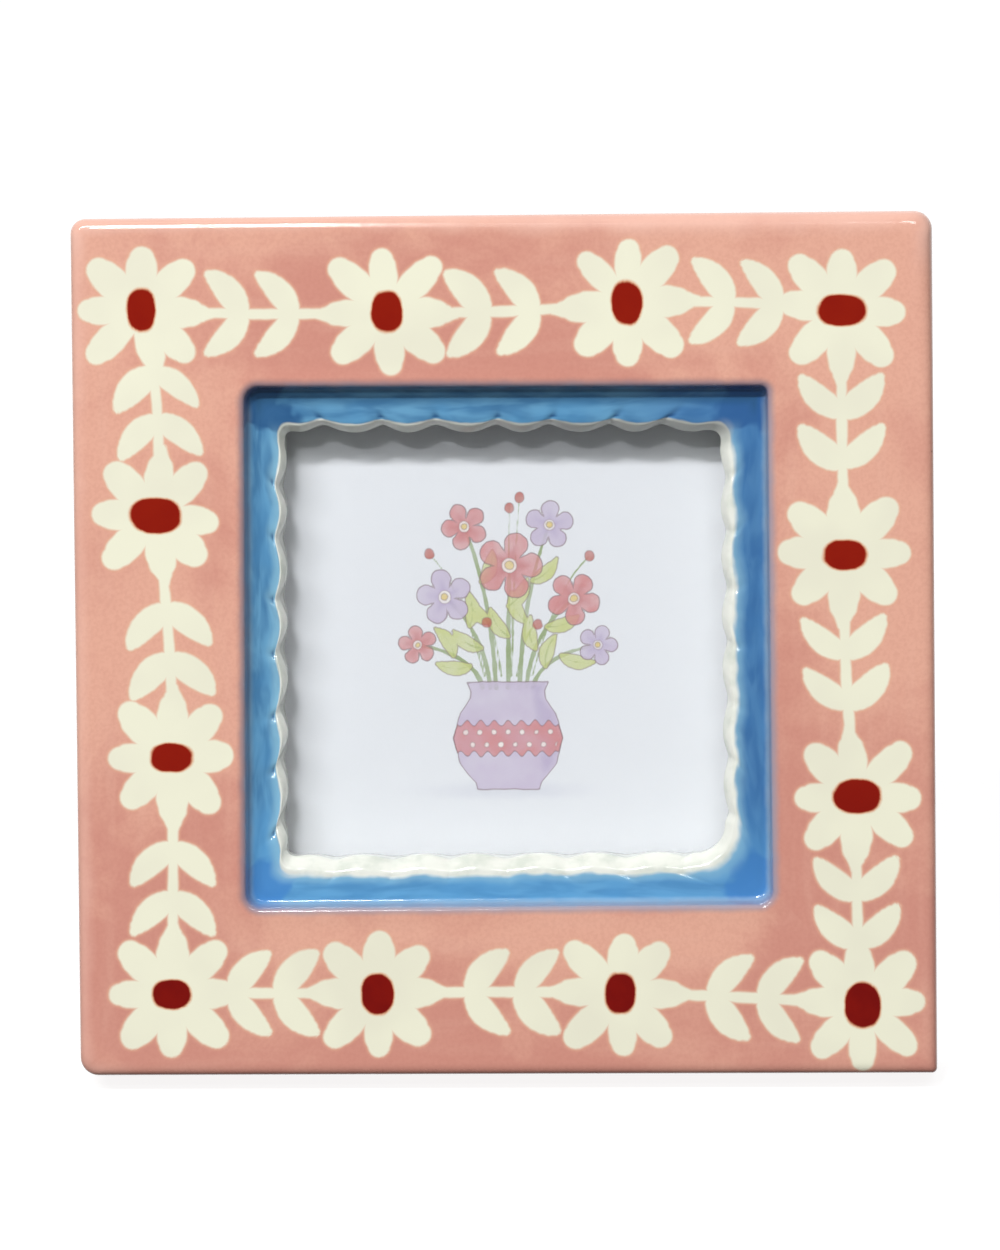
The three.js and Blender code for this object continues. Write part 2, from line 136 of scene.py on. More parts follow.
# Inks of the card: colour, softness of the edge, strength, and strength of the line drawn round it
INKS = {
    "ground": ((214, 216, 228), 0.8, 0.8, 0.0),
    "stem": ((132, 154, 84), 0.1, 0.95, 0.0),
    "leaf": ((199, 206, 122), 0.12, 0.95, 0.5),
    "rib": ((150, 168, 92), 0.1, 0.7, 0.0),
    "lilac": ((199, 185, 213), 0.12, 1.0, 0.6),
    "lilac_deep": ((170, 152, 196), 0.9, 0.6, 0.0),
    "rose": ((209, 124, 127), 0.12, 0.95, 0.6),
    "rose_deep": ((184, 84, 92), 0.9, 0.6, 0.0),
    "white": ((247, 243, 240), 0.12, 0.95, 0.3),
    "yellow": ((222, 196, 96), 0.12, 0.95, 0.4),
    "red": ((184, 58, 24), 0.12, 0.95, 0.35),
}

# Blossoms of the card: ink, middle and size
BLOSSOMS = [
    ("rose", 0.5, 13.5, 6.0),
    ("lilac", -11.0, 8.0, 5.0),
    ("rose", 11.8, 7.6, 4.8),
    ("lilac", 7.6, 20.6, 4.4),
    ("rose", -7.4, 20.4, 4.2),
    ("lilac", 16.0, -0.6, 3.6),
    ("rose", -15.8, -0.4, 3.5),
]
BERRIES = [(-3.6, 3.4), (5.4, 3.0), (-13.6, 15.6), (14.6, 15.0), (0.6, 23.6), (2.4, 25.4)]
POSY_WIDTH = 40.0
POSY_HEIGHT = 56.0
POSY_MIDDLE = -0.5
POSY_GRID = 0.3
# Pot: levels, and its half-widths there
POT_LEVELS = np.array([-26.0, -24.8, -21.5, -17.0, -12.5, -10.0, -8.6, -7.0])
POT_WIDTHS = np.array([5.5, 5.8, 8.5, 9.6, 8.4, 6.6, 6.5, 7.3])
POT_SHADE = 5.4  # where the shaded side begins, and how it leans
POT_SHADE_LEAN = 0.12
POT_LINE = 0.6  # kept free inside the pot's edge
GROUND_LEVEL = -26.2
GROUND_SIZE = (12.5, 1.3)
BAND_LEVEL = -17.0
BAND_HALF = 2.7
BAND_WAVE = 0.5
BAND_PITCH = 2.4
DOTS_ASIDE = 3
DOT_PITCH = 2.5
DOT_ROWS = ((-15.9, 0.0), (-18.1, 1.25))  # level, and shift aside
DOT_RADIUS = 0.45
DOT_MARGIN = 0.7

# Hinge and strut
PIN_HEIGHT = 22.0
PIN_DEPTH = 20.5
STRUT_TURN = math.radians(13.0)  # from upright, with the strut open
STRUT_TOP = 2.5
STRUT_TOP_HALF = 13.0
STRUT_FOOT_HALF = 21.0
STRUT_TOP_CORNER = 4.0
STRUT_FRONT = 0.7
STRUT_BACK = 3.7
STRUT_EDGE = 0.5
STRUT_ROWS = 60
STRUT_GROWTH = 1.5  # power that draws the strut's rows together at its top
HINGE_LEAF_EDGE = 0.18
PIN_EDGE = 0.2

# Turn buttons and fasteners
BUTTON_ASIDE = 50.6
BUTTON_LEVEL = 24.0
BUTTON_FRONT = 18.3
BUTTON_BACK = 19.3
BUTTON_HUB = 4.5
BUTTON_TIP = 3.2
BUTTON_REACH = 11.5
BUTTON_HOLE = 1.7
SCREW_TIP = 10.6
SCREW_SEAT = 19.6
SCREW_SHANK = 1.4
SCREW_HEAD = 3.0
SCREW_HEAD_HEIGHT = 1.8
SCREW_POINT_SHARE = 0.6  # of the shank's radius that is left at its tip
SCREW_POINT_LENGTH = 0.6
SCREW_BEVEL = (0.25, 0.2)  # across and up
SCREW_RIM = 0.3  # height of the head's rim under its dome
SLOT_DEPTH = 0.75
SLOT_HALF_WIDTHS = (0.48, 0.28)  # at the top and at the floor
SLOT_REACHES = (1.75, 1.2)
PLUG_EDGE = 0.15
RIVET_SHANK = 1.1
RIVET_HEAD = 2.2
RIVET_HEAD_HEIGHT = 1.0
RIVET_TAIL = 1.9
RIVET_TAIL_HEIGHT = 0.6
RIVET_TAIL_SHARE = 0.9  # of the tail's radius that is left at its end
RIVET_BEVEL = 0.15
RIVET_RIM = 0.1  # height of the head's rim under its dome
RIVET_SIDE = 6.0
RIVET_DISTANCE = 9.0
RIVET_PLAY = 0.3
BOARD_STACK = (16.2, 19.1)  # front and back of what a rivet holds
STRUT_STACK = (-0.4, STRUT_BACK)

# Stage, with its lengths in metres
FLOOR_HALF = 6.0
FLOOR_GLOW = 0.88
ROOM_IN_FRONT = 0.15
ROOM_BEHIND = 1.1
LIGHT_DISTANCE = 2.2
# Strip lights: left and right end, elevation in degrees, height and power
STRIPS = {
    "steep_strip": (-0.46, -0.19, 48.6, 0.13, 15.0),
    "low_strip": (-0.46, -0.19, 35.0, 0.1, 7.8),
    "soft_left": (-1.5, -0.46, 48.6, 0.15, 25.0),
    "soft_right": (0.14, 0.9, 47.5, 0.35, 8.8),
}

# Camera, with its angles in degrees
CAMERA_AZIMUTH = 3.18
CAMERA_ELEVATION = 16.76
CAMERA_ROLL = -1.303
CAMERA_DISTANCE = 1.15
PIXELS_PER_METRE = 5746.0
PICTURE_HEIGHT = 1250.0
PICTURE_ASIDE = -3.0  # from the middle of the face to the middle of the picture, in pixels
PICTURE_ABOVE = 21.3
SENSOR_HEIGHT = 24.0

# Thicker spots of the rose wash: weight, middle, and reach across and up
WASH_SPOTS = [
    (0.7, -8.0, 52.0, 34.0, 9.0),
    (0.9, -20.0, 65.0, 32.0, 9.0),
]

# Painted garland: middle of each flower and size of its red oval, going round against the clock
FLOWERS = [
    (-62.6, 59.0, 5.0, 7.4),
    (-60.5, 23.2, 8.7, 6.1),
    (-58.1, -19.1, 7.2, 5.1),
    (-58.6, -60.6, 6.7, 5.2),
    (-22.5, -60.7, 5.6, 7.3),
    (19.9, -60.7, 5.3, 7.0),
    (62.1, -62.9, 6.2, 7.7),
    (61.4, -26.5, 8.2, 5.8),
    (59.6, 15.5, 7.4, 5.1),
    (59.3, 57.9, 8.1, 5.5),
    (22.1, 59.5, 5.3, 7.4),
    (-19.7, 58.3, 5.3, 7.0),
]
# Sideways swing of the stem and leaves from each flower to the next
LINK_BOWS = [
    (1.6, 0.3),
    (0.9, -0.3),
    (0.2, -0.4),
    (-0.5, 0.2),
    (0.2, 0.3),
    (0.2, 0.3),
    (-0.5, -0.7),
    (-0.9, 0.2),
    (-0.3, -0.2),
    (1.0, 0.7),
    (-0.5, -0.7),
    (0.2, -0.5),
]
PETALS = 8
STRAIGHT_PETAL = 11.1
SLANTED_PETAL = 12.5
STRAIGHT_HALF_WIDTH = 2.65
SLANTED_HALF_WIDTH = 2.8
STEM_HALF_WIDTH = 0.92
# Spread of the brush by hand: of a petal's length and width, of its turn, and of a leaf's width
HAND_SEED = 7
PETAL_LENGTH_SPREAD = 0.03
PETAL_WIDTH_SPREAD = 0.05
PETAL_TURN_SPREAD = 0.05
LEAF_WIDTH_SPREAD = 0.06
# Along a petal, and along one that runs into a stem: shares of its length, and of its half-width there
PETAL_PLACES = np.array([0.0, 0.4, 0.66, 0.85, 1.0])
PETAL_WIDTHS = np.array([0.7, 0.88, 1.0, 0.96, 0.78])
STEM_PETAL_PLACES = np.array([0.0, 0.4, 0.62, 0.8, 0.95, 1.12])
STEM_PETAL_WIDTHS = np.array([0.75, 0.96, 1.04, 0.88, 0.58, 0.32])
LEAF_WIDTHS = np.array([1.7, 2.0, 2.2, 2.35, 2.35, 2.25, 1.95, 1.5, 0.8])  # half-widths, root to tip
LEAF_SPINE = ((2.0, 0.4), (2.9, 3.8), (7.5, 6.8))  # start, bend and tip: ahead of the root, and aside
# Pairs of leaves on a link: mark, and distance of their root from the flower ahead, to which a share of the
# link's length is added
LEAF_PAIRS = (("first_leaves", 12.2, 0.16), ("second_leaves", 18.0, 0.23))
MARK_MARGIN = 3.0  # how far round a mark its distances are worked out
PETAL_STEM_TURN = 0.35  # a petal that lies nearer to a stem than this angle runs into it
OVAL_POWER = 2.4
CREAM_MARKS = ("straight_petals", "slanted_petals", "stems", "first_leaves", "second_leaves")
FAR = 9.0  # distance written where no mark is near

joints = {joint["name"]: joint for joint in frame["joints"]}
backwards = np.array(joints["button_upper_left_turn"]["axis"])
upwards = np.array([0.0, -backwards[2], backwards[1]])
pin_middle = np.array(joints["strut_fold"]["pos_m"]) / MM
face_middle = pin_middle - PIN_HEIGHT * upwards - PIN_DEPTH * backwards


def stand(x, height, depth):
    """Place in the room, in metres: the face's middle, plus x to the right, plus height and depth along the
    leaning frame's own directions."""
    x, height, depth = np.broadcast_arrays(x, height, depth)
    sideways = np.stack([x, np.zeros_like(x), np.zeros_like(x)], axis=-1)
    return (face_middle + sideways + height[..., None] * upwards + depth[..., None] * backwards) * MM


def hang(x, drop, depth):
    """Place in the room, in metres, of a point of the open strut: drop runs down the strut from the pin and
    depth goes squarely behind it."""
    x, drop, depth = np.broadcast_arrays(x, drop, depth)
    down = np.array([0.0, math.sin(STRUT_TURN), -math.cos(STRUT_TURN)])
    behind = np.array([0.0, math.cos(STRUT_TURN), math.sin(STRUT_TURN)])
    sideways = np.stack([x, np.zeros_like(x), np.zeros_like(x)], axis=-1)
    return (pin_middle + sideways + drop[..., None] * down + depth[..., None] * behind) * MM


def smooth(value, low, high):
    """0 below low, 1 above high, and a smooth cubic step between."""
    share = np.clip((value - low) / (high - low), 0.0, 1.0)
    return share * share * (3.0 - 2.0 * share)


# Meshes

def grid_faces(rows, columns, close_rows=False, close_columns=False):
    """Four corners of each cell of a grid of points that are numbered row by row."""
    row = np.arange(rows if close_rows else rows - 1)[:, None]
    column = np.arange(columns if close_columns else columns - 1)[None, :]
    next_row = (row + 1) % rows
    next_column = (column + 1) % columns
    cells = [row * columns + column, row * columns + next_column,
             next_row * columns + next_column, next_row * columns + column]
    return np.stack(cells, axis=-1).reshape(-1, 4)


def outwards(points, faces):
    """Faces turned so that the closed shape has a positive volume."""
    a, b, c, d = (points[faces[:, corner]] for corner in range(4))
    volume = (a * np.cross(b, c)).sum() + (a * np.cross(c, d)).sum()
    return faces if volume > 0 else faces[:, ::-1]


def add_piece(name, points, faces, look, body, nodes):
    """Mesh piece from an array of places and an array of four-cornered faces; it rides on a body and stands
    for the named nodes."""
    points = points.reshape(-1, 3)
    faces = outwards(points, faces)
    mesh = bpy.data.meshes.new(name)
    mesh.vertices.add(len(points))
    mesh.vertices.foreach_set("co", np.ascontiguousarray(points, np.float32).ravel())
    mesh.loops.add(faces.size)
    mesh.loops.foreach_set("vertex_index", np.ascontiguousarray(faces, np.int32).ravel())
    mesh.polygons.add(len(faces))
    mesh.polygons.foreach_set("loop_start", np.arange(0, faces.size, 4, dtype=np.int32))
    mesh.update(calc_edges=True)
    mesh.shade_smooth()
    mesh.materials.append(look)
    piece = bpy.data.objects.new(name, mesh)
    bpy.context.scene.collection.objects.link(piece)
    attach(piece, body)
    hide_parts(*nodes)
    return piece


def add_field(piece, name, values):
    """One number for each point of a piece, for its material to read."""
    layer = piece.data.attributes.new(name, "FLOAT", "POINT")
    layer.data.foreach_set("value", np.ascontiguousarray(values, np.float32).ravel())


# Materials

def paint(red, green, blue):
    """Linear colour of a paint whose screen values run from 0 to 255."""
    screen = np.array([red, green, blue]) / 255.0
    linear = np.where(screen <= 0.04045, screen / 12.92, ((screen + 0.055) / 1.055) ** 2.4)
    return (*linear.tolist(), 1.0)


# Paints of the rail and its garland
ROSE_THIN = paint(236, 178, 156)
ROSE_THICK = paint(216, 150, 134)
ROSE_STROKE = paint(238, 186, 166)
ROSE_GRAIN = paint(196, 124, 110)
ROSE_SPECK = paint(158, 98, 86)
# Paler rim: thin glaze, and painted light on the upper and left edges
ROSE_RIM_THIN_AND_LIT = paint(245, 199, 183)
CREAM = paint(246, 245, 221)
CREAM_CLOUD = paint(240, 238, 216)
CREAM_EDGE = paint(236, 182, 152)
RED = paint(148, 22, 0)
RED_LOW = paint(122, 4, 0)
RED_CLOUD = paint(140, 14, 0)
RED_EDGE = paint(226, 158, 118)

# Paints of the step and the lip, and the bare clay
BLUE = paint(72, 126, 170)
BLUE_STROKE = paint(106, 164, 202)
BLUE_CLOUD = paint(84, 148, 196)
BLUE_LOW = paint(100, 172, 228)
BLUE_CORNER = paint(30, 72, 120)
BLUE_CORNER_CLOUD = paint(46, 98, 150)
BLUE_LOW_CORNER = paint(72, 138, 204)
BLUE_RIGHT = paint(52, 100, 164)
# Painted shade under the step's upper edge
BLUE_STEP_SHADE = paint(44, 86, 118)
BLUE_HALO = paint(156, 206, 226)
BLUE_POOL = paint(30, 72, 128)
# Painted highlight along the step's lit edges
BLUE_EDGE_LIGHT = paint(170, 196, 216)
# Grey-brown thin glaze where rose meets blue, in a painted-shade tone and a painted-light tone
GLAZE_THIN_SHADED = paint(150, 124, 126)
GLAZE_THIN_LIT = paint(172, 158, 166)
LIP_CREAM = paint(243, 245, 236)
LIP_CLOUD = paint(219, 225, 214)
# Painted shade on the upper lip
LIP_PAINTED_SHADE = paint(184, 187, 182)
CLAY = paint(218, 211, 194)
CLAY_CLOUD = paint(234, 229, 216)
CLAY_SPECK = paint(188, 178, 158)

# Colours of the other finishes
GLASS_TINT = paint(232, 242, 238)
GLASS_CLOUD = paint(240, 246, 244)
CARD_WHITE = paint(229, 232, 239)
CARD_CLOUD = paint(234, 236, 242)
INK_LINE = paint(116, 82, 92)
FLOCK_BLACK = paint(20, 20, 22)
FLOCK_FIBRE = paint(46, 45, 48)
FLOCK_RUBBED = paint(58, 57, 60)
BRASS_DARK = paint(176, 138, 70)
BRASS_LIGHT = paint(214, 178, 106)
STEEL_DARK = paint(150, 152, 155)
STEEL_LIGHT = paint(196, 198, 200)
NYLON_WHITE = paint(224, 221, 208)
NYLON_CLOUD = paint(233, 231, 220)
FLOOR_GREY = paint(126, 126, 126)
FLOOR_CLOUD = paint(130, 130, 130)


class Look:
    """Node material put together from plain calls, each of which returns the socket with its result."""

    def __init__(self, name):
        """New material with a plain surface, and the place on the piece that its patterns follow."""
        self.material = bpy.data.materials.new(name)
        self.material.use_nodes = True
        self.tree = self.material.node_tree
        self.surface = self.tree.nodes["Principled BSDF"]
        self.place = self.node("ShaderNodeTexCoord", "Object", {})

    def node(self, kind, output, inputs, **settings):
        """One output of a new node that has the given inputs and settings."""
        node = self.tree.nodes.new(kind)
        for name, value in settings.items():
            setattr(node, name, value)
        for name, value in inputs.items():
            self.put(value, node.inputs[name])
        return node.outputs[output]

    def put(self, value, socket):
        """Links a socket to an input, or sets the input to a plain value."""
        if isinstance(value, bpy.types.NodeSocket):
            self.tree.links.new(value, socket)
        else:
            socket.default_value = value

    def finish(self, **values):
        """Sets the surface's sockets; a name with underscores stands for the socket's own name."""
        sockets = {socket.name.lower().replace(" ", "_"): socket for socket in self.surface.inputs}
        for name, value in values.items():
            self.put(value, sockets[name])
        return self.material

    def field(self, name):
        """Number that the piece's points carry under a name."""
        return self.node("ShaderNodeAttribute", "Fac", {}, attribute_name=name)

    def nearest(self, names):
        """The least of several fields of distances."""
        nearest = self.field(names[0])
        for name in names[1:]:
            nearest = self.math("MINIMUM", nearest, self.field(name))
        return nearest

    def surface_map(self):
        """Place on the piece's own UV map."""
        return self.node("ShaderNodeTexCoord", "UV", {})

    def stretch(self, vector, scale):
        """A place with each of its three numbers scaled."""
        return self.node("ShaderNodeMapping", "Vector", {"Vector": vector, "Scale": scale})

    def noise(self, scale, detail=2.0, roughness=0.5, distortion=0.0, vector=None):
        """Cloudy noise from about 0.2 to 0.8, over the place on the piece if no other vector is given."""
        inputs = {"Vector": vector or self.place, "Scale": scale, "Detail": detail}
        inputs |= {"Roughness": roughness, "Distortion": distortion}
        return self.node("ShaderNodeTexNoise", "Fac", inputs)

    def math(self, operation, *values):
        """Sum, product or other plain operation on numbers."""
        node = self.tree.nodes.new("ShaderNodeMath")
        node.operation = operation
        for value, socket in zip(values, node.inputs):
            self.put(value, socket)
        return node.outputs["Value"]

    def step(self, value, low, high, start=0.0, end=1.0):
        """Smooth cubic step from start, where a value is low, to end, where it is high."""
        inputs = {"Value": value, "From Min": low, "From Max": high, "To Min": start, "To Max": end}
        return self.node("ShaderNodeMapRange", "Result", inputs, interpolation_type="SMOOTHSTEP")

    def mix(self, share, first, second):
        """Colour that goes from the first to the second while a share goes from 0 to 1."""
        node = self.tree.nodes.new("ShaderNodeMix")
        node.data_type = "RGBA"
        colours = [socket for socket in node.inputs if socket.type == "RGBA"]
        self.put(share, node.inputs["Factor"])
        self.put(first, colours[0])
        self.put(second, colours[1])
        return next(socket for socket in node.outputs if socket.type == "RGBA")

    def over(self, base, colour, value, low, high, most=1.0):
        """A colour laid over a base: its share goes from 0 to most while a value goes from low to high."""
        return self.mix(self.step(value, low, high, 0.0, most), base, colour)

    def ragged(self, gap, scale, amount):
        """A distance that a noise moves to both sides, so that a painted edge isn't ruled."""
        return self.math("ADD", gap, self.step(self.noise(scale), 0.2, 0.8, -amount, amount))

    def specks(self, scale, size, share):
        """1 on a few small spots: the middles of the cells of a scatter whose own number is high."""
        node = self.tree.nodes.new("ShaderNodeTexVoronoi")
        self.put(self.place, node.inputs["Vector"])
        node.inputs["Scale"].default_value = scale
        spot = self.step(node.outputs["Distance"], size, size * 0.4)
        number = self.tree.nodes.new("ShaderNodeSeparateColor")
        self.put(node.outputs["Color"], number.inputs["Color"])
        return self.math("MULTIPLY", spot, self.math("GREATER_THAN", number.outputs["Red"], 1.0 - share))

    def bump(self, height, strength, distance):
        """Surface direction tilted by the slopes of a height, as fine relief would."""
        inputs = {"Strength": strength, "Distance": distance, "Height": height}
        return self.node("ShaderNodeBump", "Normal", inputs)


def rose_paint(look, brushed):
    """Rose wash of the rail, with brush strokes, grain, a few specks and a paler rim of thin glaze and
    painted light.
    """
    wash = look.noise(42.0, 5.0, 0.6, 0.6)
    strokes = look.noise(5.0, 3.0, 0.5, vector=look.stretch(brushed, (1.0, 5.0, 1.0)))
    weight = look.math("ADD", look.field("wash"), look.step(wash, 0.3, 0.7, 0.45, -0.35))
    rose = look.over(ROSE_THIN, ROSE_THICK, weight, 0.0, 1.0)
    rose = look.over(rose, ROSE_STROKE, strokes, 0.45, 0.75, 0.22)
    rose = look.over(rose, ROSE_GRAIN, look.noise(1500.0, 2.0), 0.35, 0.7, 0.14)
    rose = look.mix(look.specks(120.0, 0.03, 0.2), rose, ROSE_SPECK)
    # Paler rim of thin glaze and painted light
    rim = look.ragged(look.field("rim"), 90.0, 0.8)
    rim = look.math("MULTIPLY", look.field("bright_rim"), look.step(rim, 3.4, 0.4, 0.0, 0.65))
    return look.mix(rim, rose, ROSE_RIM_THIN_AND_LIT)


def garland_paint(look, rose):
    """Cream petals, leaves and stems on the rose, and red ovals on the cream; both have a soft edge."""
    cream_gap = look.ragged(look.nearest(CREAM_MARKS), 260.0, 0.1)
    cream = look.over(CREAM, CREAM_CLOUD, look.noise(60.0), 0.35, 0.7)
    rose = look.over(rose, CREAM_EDGE, cream_gap, 0.7, 0.0, 0.55)
    face = look.over(rose, cream, cream_gap, 0.3, -0.3)
    red_gap = look.ragged(look.field("red"), 320.0, 0.14)
    red = look.mix(look.field("low"), RED, RED_LOW)
    red = look.over(red, RED_CLOUD, look.noise(220.0), 0.35, 0.7, 0.5)
    face = look.over(face, RED_EDGE, red_gap, 0.4, -0.1)
    return look.over(face, red, red_gap, 0.12, -0.22)


def blue_paint(look, brushed, rail_gap):
    """Blue of the step: brushed along the window, deeper in its corners and on the right, and paler round the
    lip; a painted shade carries on the shadow under the step's upper edge, and a painted highlight runs along
    its lit edges."""
    strokes = look.noise(9.0, 2.0, 0.5, 0.4, vector=look.stretch(brushed, (1.0, 4.0, 1.0)))
    blue = look.over(BLUE, BLUE_STROKE, strokes, 0.32, 0.7)
    blue = look.over(blue, BLUE_CLOUD, look.noise(110.0), 0.42, 0.7, 0.5)
    blue = look.over(blue, BLUE_LOW, look.field("low"), 0.0, 1.0, 0.45)
    corner = look.ragged(look.field("corner"), 170.0, 2.5)
    corner_blue = look.mix(look.noise(140.0), BLUE_CORNER, BLUE_CORNER_CLOUD)
    corner_blue = look.mix(look.field("low"), corner_blue, BLUE_LOW_CORNER)
    blue = look.over(blue, corner_blue, corner, 37.6, 39.4, 0.85)
    blue = look.over(blue, BLUE_RIGHT, look.field("deep"), 0.0, 1.0, 0.55)
    # Painted shade that carries on the shadow of the step's upper edge
    blue = look.over(blue, BLUE_STEP_SHADE, look.field("step_shade"), 0.0, 1.0, 0.75)
    halo = look.step(look.ragged(look.field("lip"), 170.0, 0.4), -2.2, -0.2, 0.0, 0.55)
    blue = look.mix(look.math("MULTIPLY", look.field("halo"), halo), blue, BLUE_HALO)
    blue = look.over(blue, BLUE_POOL, look.field("pool"), 0.1, 0.9, 0.9)
    # Painted highlight along the step's edge on the right and lower sides, and low on the left side
    edge_light = look.math("ABSOLUTE", look.math("ADD", rail_gap, 0.5))
    edge_light = look.math("MULTIPLY", look.field("lit_step_edge"), look.step(edge_light, 1.1, 0.0, 0.0, 0.5))
    return look.mix(edge_light, blue, BLUE_EDGE_LIGHT)


def glaze_look():
    """Painted and glazed ceramic: rose rail with its garland, blue step, cream lip and bare clay behind."""
    look = Look("painted_glaze")
    brushed = look.surface_map()
    face = garland_paint(look, rose_paint(look, brushed))
    rail_gap = look.ragged(look.field("rail"), 300.0, 0.12)
    front = look.over(blue_paint(look, brushed, rail_gap), face, rail_gap, -0.6, 1.1)
    # Grey-brown thin glaze where rose meets blue: darker as painted shade on the upper and left sides, paler
    # as painted light on the right and lower sides
    fade = look.math("ABSOLUTE", look.math("ADD", rail_gap, -0.35))
    thin_glaze = look.mix(look.field("soft"), GLAZE_THIN_SHADED, GLAZE_THIN_LIT)
    front = look.over(front, thin_glaze, fade, 1.35, 0.0, 0.65)
    lip = look.over(LIP_CREAM, LIP_CLOUD, look.noise(240.0, 3.0), 0.4, 0.75)
    # Painted shade on the upper lip, which faces down away from the lamps
    lip = look.mix(look.field("upper"), lip, LIP_PAINTED_SHADE)
    crisp = look.step(look.ragged(look.field("lip"), 260.0, 0.16), -0.1, 0.35)
    runny = look.step(look.ragged(look.field("lip"), 170.0, 0.5), -0.7, 0.3)
    front = look.mix(look.math("MULTIPLY", look.field("soft"), runny), front, lip)
    front = look.mix(crisp, front, lip)
    clay = look.over(CLAY, CLAY_CLOUD, look.noise(45.0, 4.0, 0.6), 0.3, 0.7)
    clay = look.mix(look.specks(260.0, 0.12, 0.25), clay, CLAY_SPECK)
    whole = look.mix(look.field("back"), front, clay)
    ripple = look.bump(look.noise(160.0, 2.0), 0.05, 0.001)
    return look.finish(base_color=whole, roughness=0.1, ior=1.5, normal=ripple)


def pane_look():
    """Clear glass: nearly see-through, with a faint green tint and cloudy smears."""
    look = Look("clear_glass")
    smear = look.step(look.noise(45.0, 3.0), 0.4, 0.8, 0.03, 0.07)
    tint = look.mix(look.noise(20.0), GLASS_TINT, GLASS_CLOUD)
    return look.finish(base_color=tint, roughness=smear, alpha=0.06, ior=1.5)


def card_look():
    """Smooth white card with a posy printed in soft inks inside thin drawn lines."""
    look = Look("printed_card")
    print_run = look.mix(look.noise(700.0, 3.0), CARD_WHITE, CARD_CLOUD)
    for number, (name, (ink, softness, strength, line)) in enumerate(INKS.items()):
        gap = look.ragged(look.field(name), 420.0 + 30.0 * number, 0.1)
        wash = look.step(look.noise(150.0 + 20.0 * number, 3.0), 0.25, 0.75, 0.7 * strength, strength)
        share = look.math("MULTIPLY", look.step(gap, softness, -softness), wash)
        print_run = look.mix(share, print_run, paint(*ink))
        if line:
            print_run = look.over(print_run, INK_LINE, look.math("ABSOLUTE", gap), 0.2, 0.04, line)
    grain = look.bump(look.noise(2600.0, 2.0), 0.05, 0.0004)
    return look.finish(base_color=print_run, roughness=0.62, normal=grain)


def flock_look():
    """Black flocked covering: short fibres that catch light at a slant, a little rubbed here and there."""
    look = Look("black_flock")
    fibres = look.noise(5200.0, 2.0, 0.7)
    nap = look.noise(70.0, 3.0, 0.6)
    black = look.over(FLOCK_BLACK, FLOCK_FIBRE, fibres, 0.3, 0.75)
    black = look.over(black, FLOCK_RUBBED, nap, 0.5, 0.75, 0.35)
    fuzz = look.bump(fibres, 0.35, 0.0003)
    return look.finish(base_color=black, roughness=0.95, sheen_weight=0.35, sheen_roughness=0.4, normal=fuzz)


def metal_look(name, dark, light, roughness):
    """Rubbed metal: a cloudy tarnish from a dark to a light colour, and fine scratches that dull it."""
    look = Look(name)
    scratches = look.noise(900.0, 3.0, 0.7, vector=look.stretch(look.place, (0.15, 1.0, 1.0)))
    tarnish = look.noise(220.0, 3.0, 0.6)
    colour = look.over(dark, light, tarnish, 0.35, 0.7)
    dull = look.step(scratches, 0.3, 0.75, roughness * 0.8, roughness * 1.35)
    marks = look.bump(scratches, 0.12, 0.0002)
    return look.finish(base_color=colour, metallic=1.0, roughness=dull, normal=marks)


def nylon_look():
    """White nylon, half matt, in two tones that a noise mixes."""
    look = Look("white_nylon")
    tone = look.mix(look.noise(300.0), NYLON_WHITE, NYLON_CLOUD)
    return look.finish(base_color=tone, roughness=0.5)


glaze = glaze_look()
clear_glass = pane_look()
printed_card = card_look()
black_flock = flock_look()
brass = metal_look("rubbed_brass", BRASS_DARK, BRASS_LIGHT, 0.3)
steel = metal_look("bright_steel", STEEL_DARK, STEEL_LIGHT, 0.28)
white_nylon = nylon_look()


# Ceramic body

def side_shares():
    """Share along a side, from -1 to 1, and turn into the corner after it, of each column of one side."""
    along = np.concatenate([np.linspace(-1.0, 1.0, SIDE_STEPS + 1), np.ones(CORNER_STEPS - 1)])
    turn = np.arange(-SIDE_STEPS, CORNER_STEPS).clip(0) / CORNER_STEPS * math.pi / 2.0
    return along, turn


def nearer_corners(corners, along):
    """Radius of the corner that ends each half of each side; corners holds four radii in every row."""
    after = np.broadcast_to(corners, (len(corners), 4))[:, :, None]
    return np.where(along < 0.0, np.roll(after, 1, axis=1), after)


def square_loops(half, corners, wave=0.0):
    """x and height of square loops with rounded corners, a row for each value of half.
    A side lies at half from the middle and ends in a quarter of a circle. wave moves the points outwards."""
    along, turn = side_shares()
    corner = nearer_corners(corners, along)
    straight = half[:, :, None] - corner
    out = straight + (corner + wave) * np.cos(turn)
    aside = straight * along + (corner + wave) * np.sin(turn)
    quarter = np.arange(4)[:, None] * math.pi / 2.0
    x = out * np.cos(quarter) - aside * np.sin(quarter)
    height = out * np.sin(quarter) + aside * np.cos(quarter)
    return x.reshape(len(half), -1), height.reshape(len(half), -1)


def rounded_reach(x, height, half, corners):
    """Half-size of the square loop through each point, where the loop at half has the given corner radii."""
    upper_right, upper_left, lower_left, lower_right = corners
    upper = np.where(x > 0.0, upper_right, upper_left)
    lower = np.where(x > 0.0, lower_right, lower_left)
    corner = np.where(height > 0.0, upper, lower)
    over = np.stack([np.abs(x), np.abs(height)]) - half + corner
    return np.where(over.min(axis=0) > 0.0, np.hypot(*over), over.max(axis=0)) + half - corner


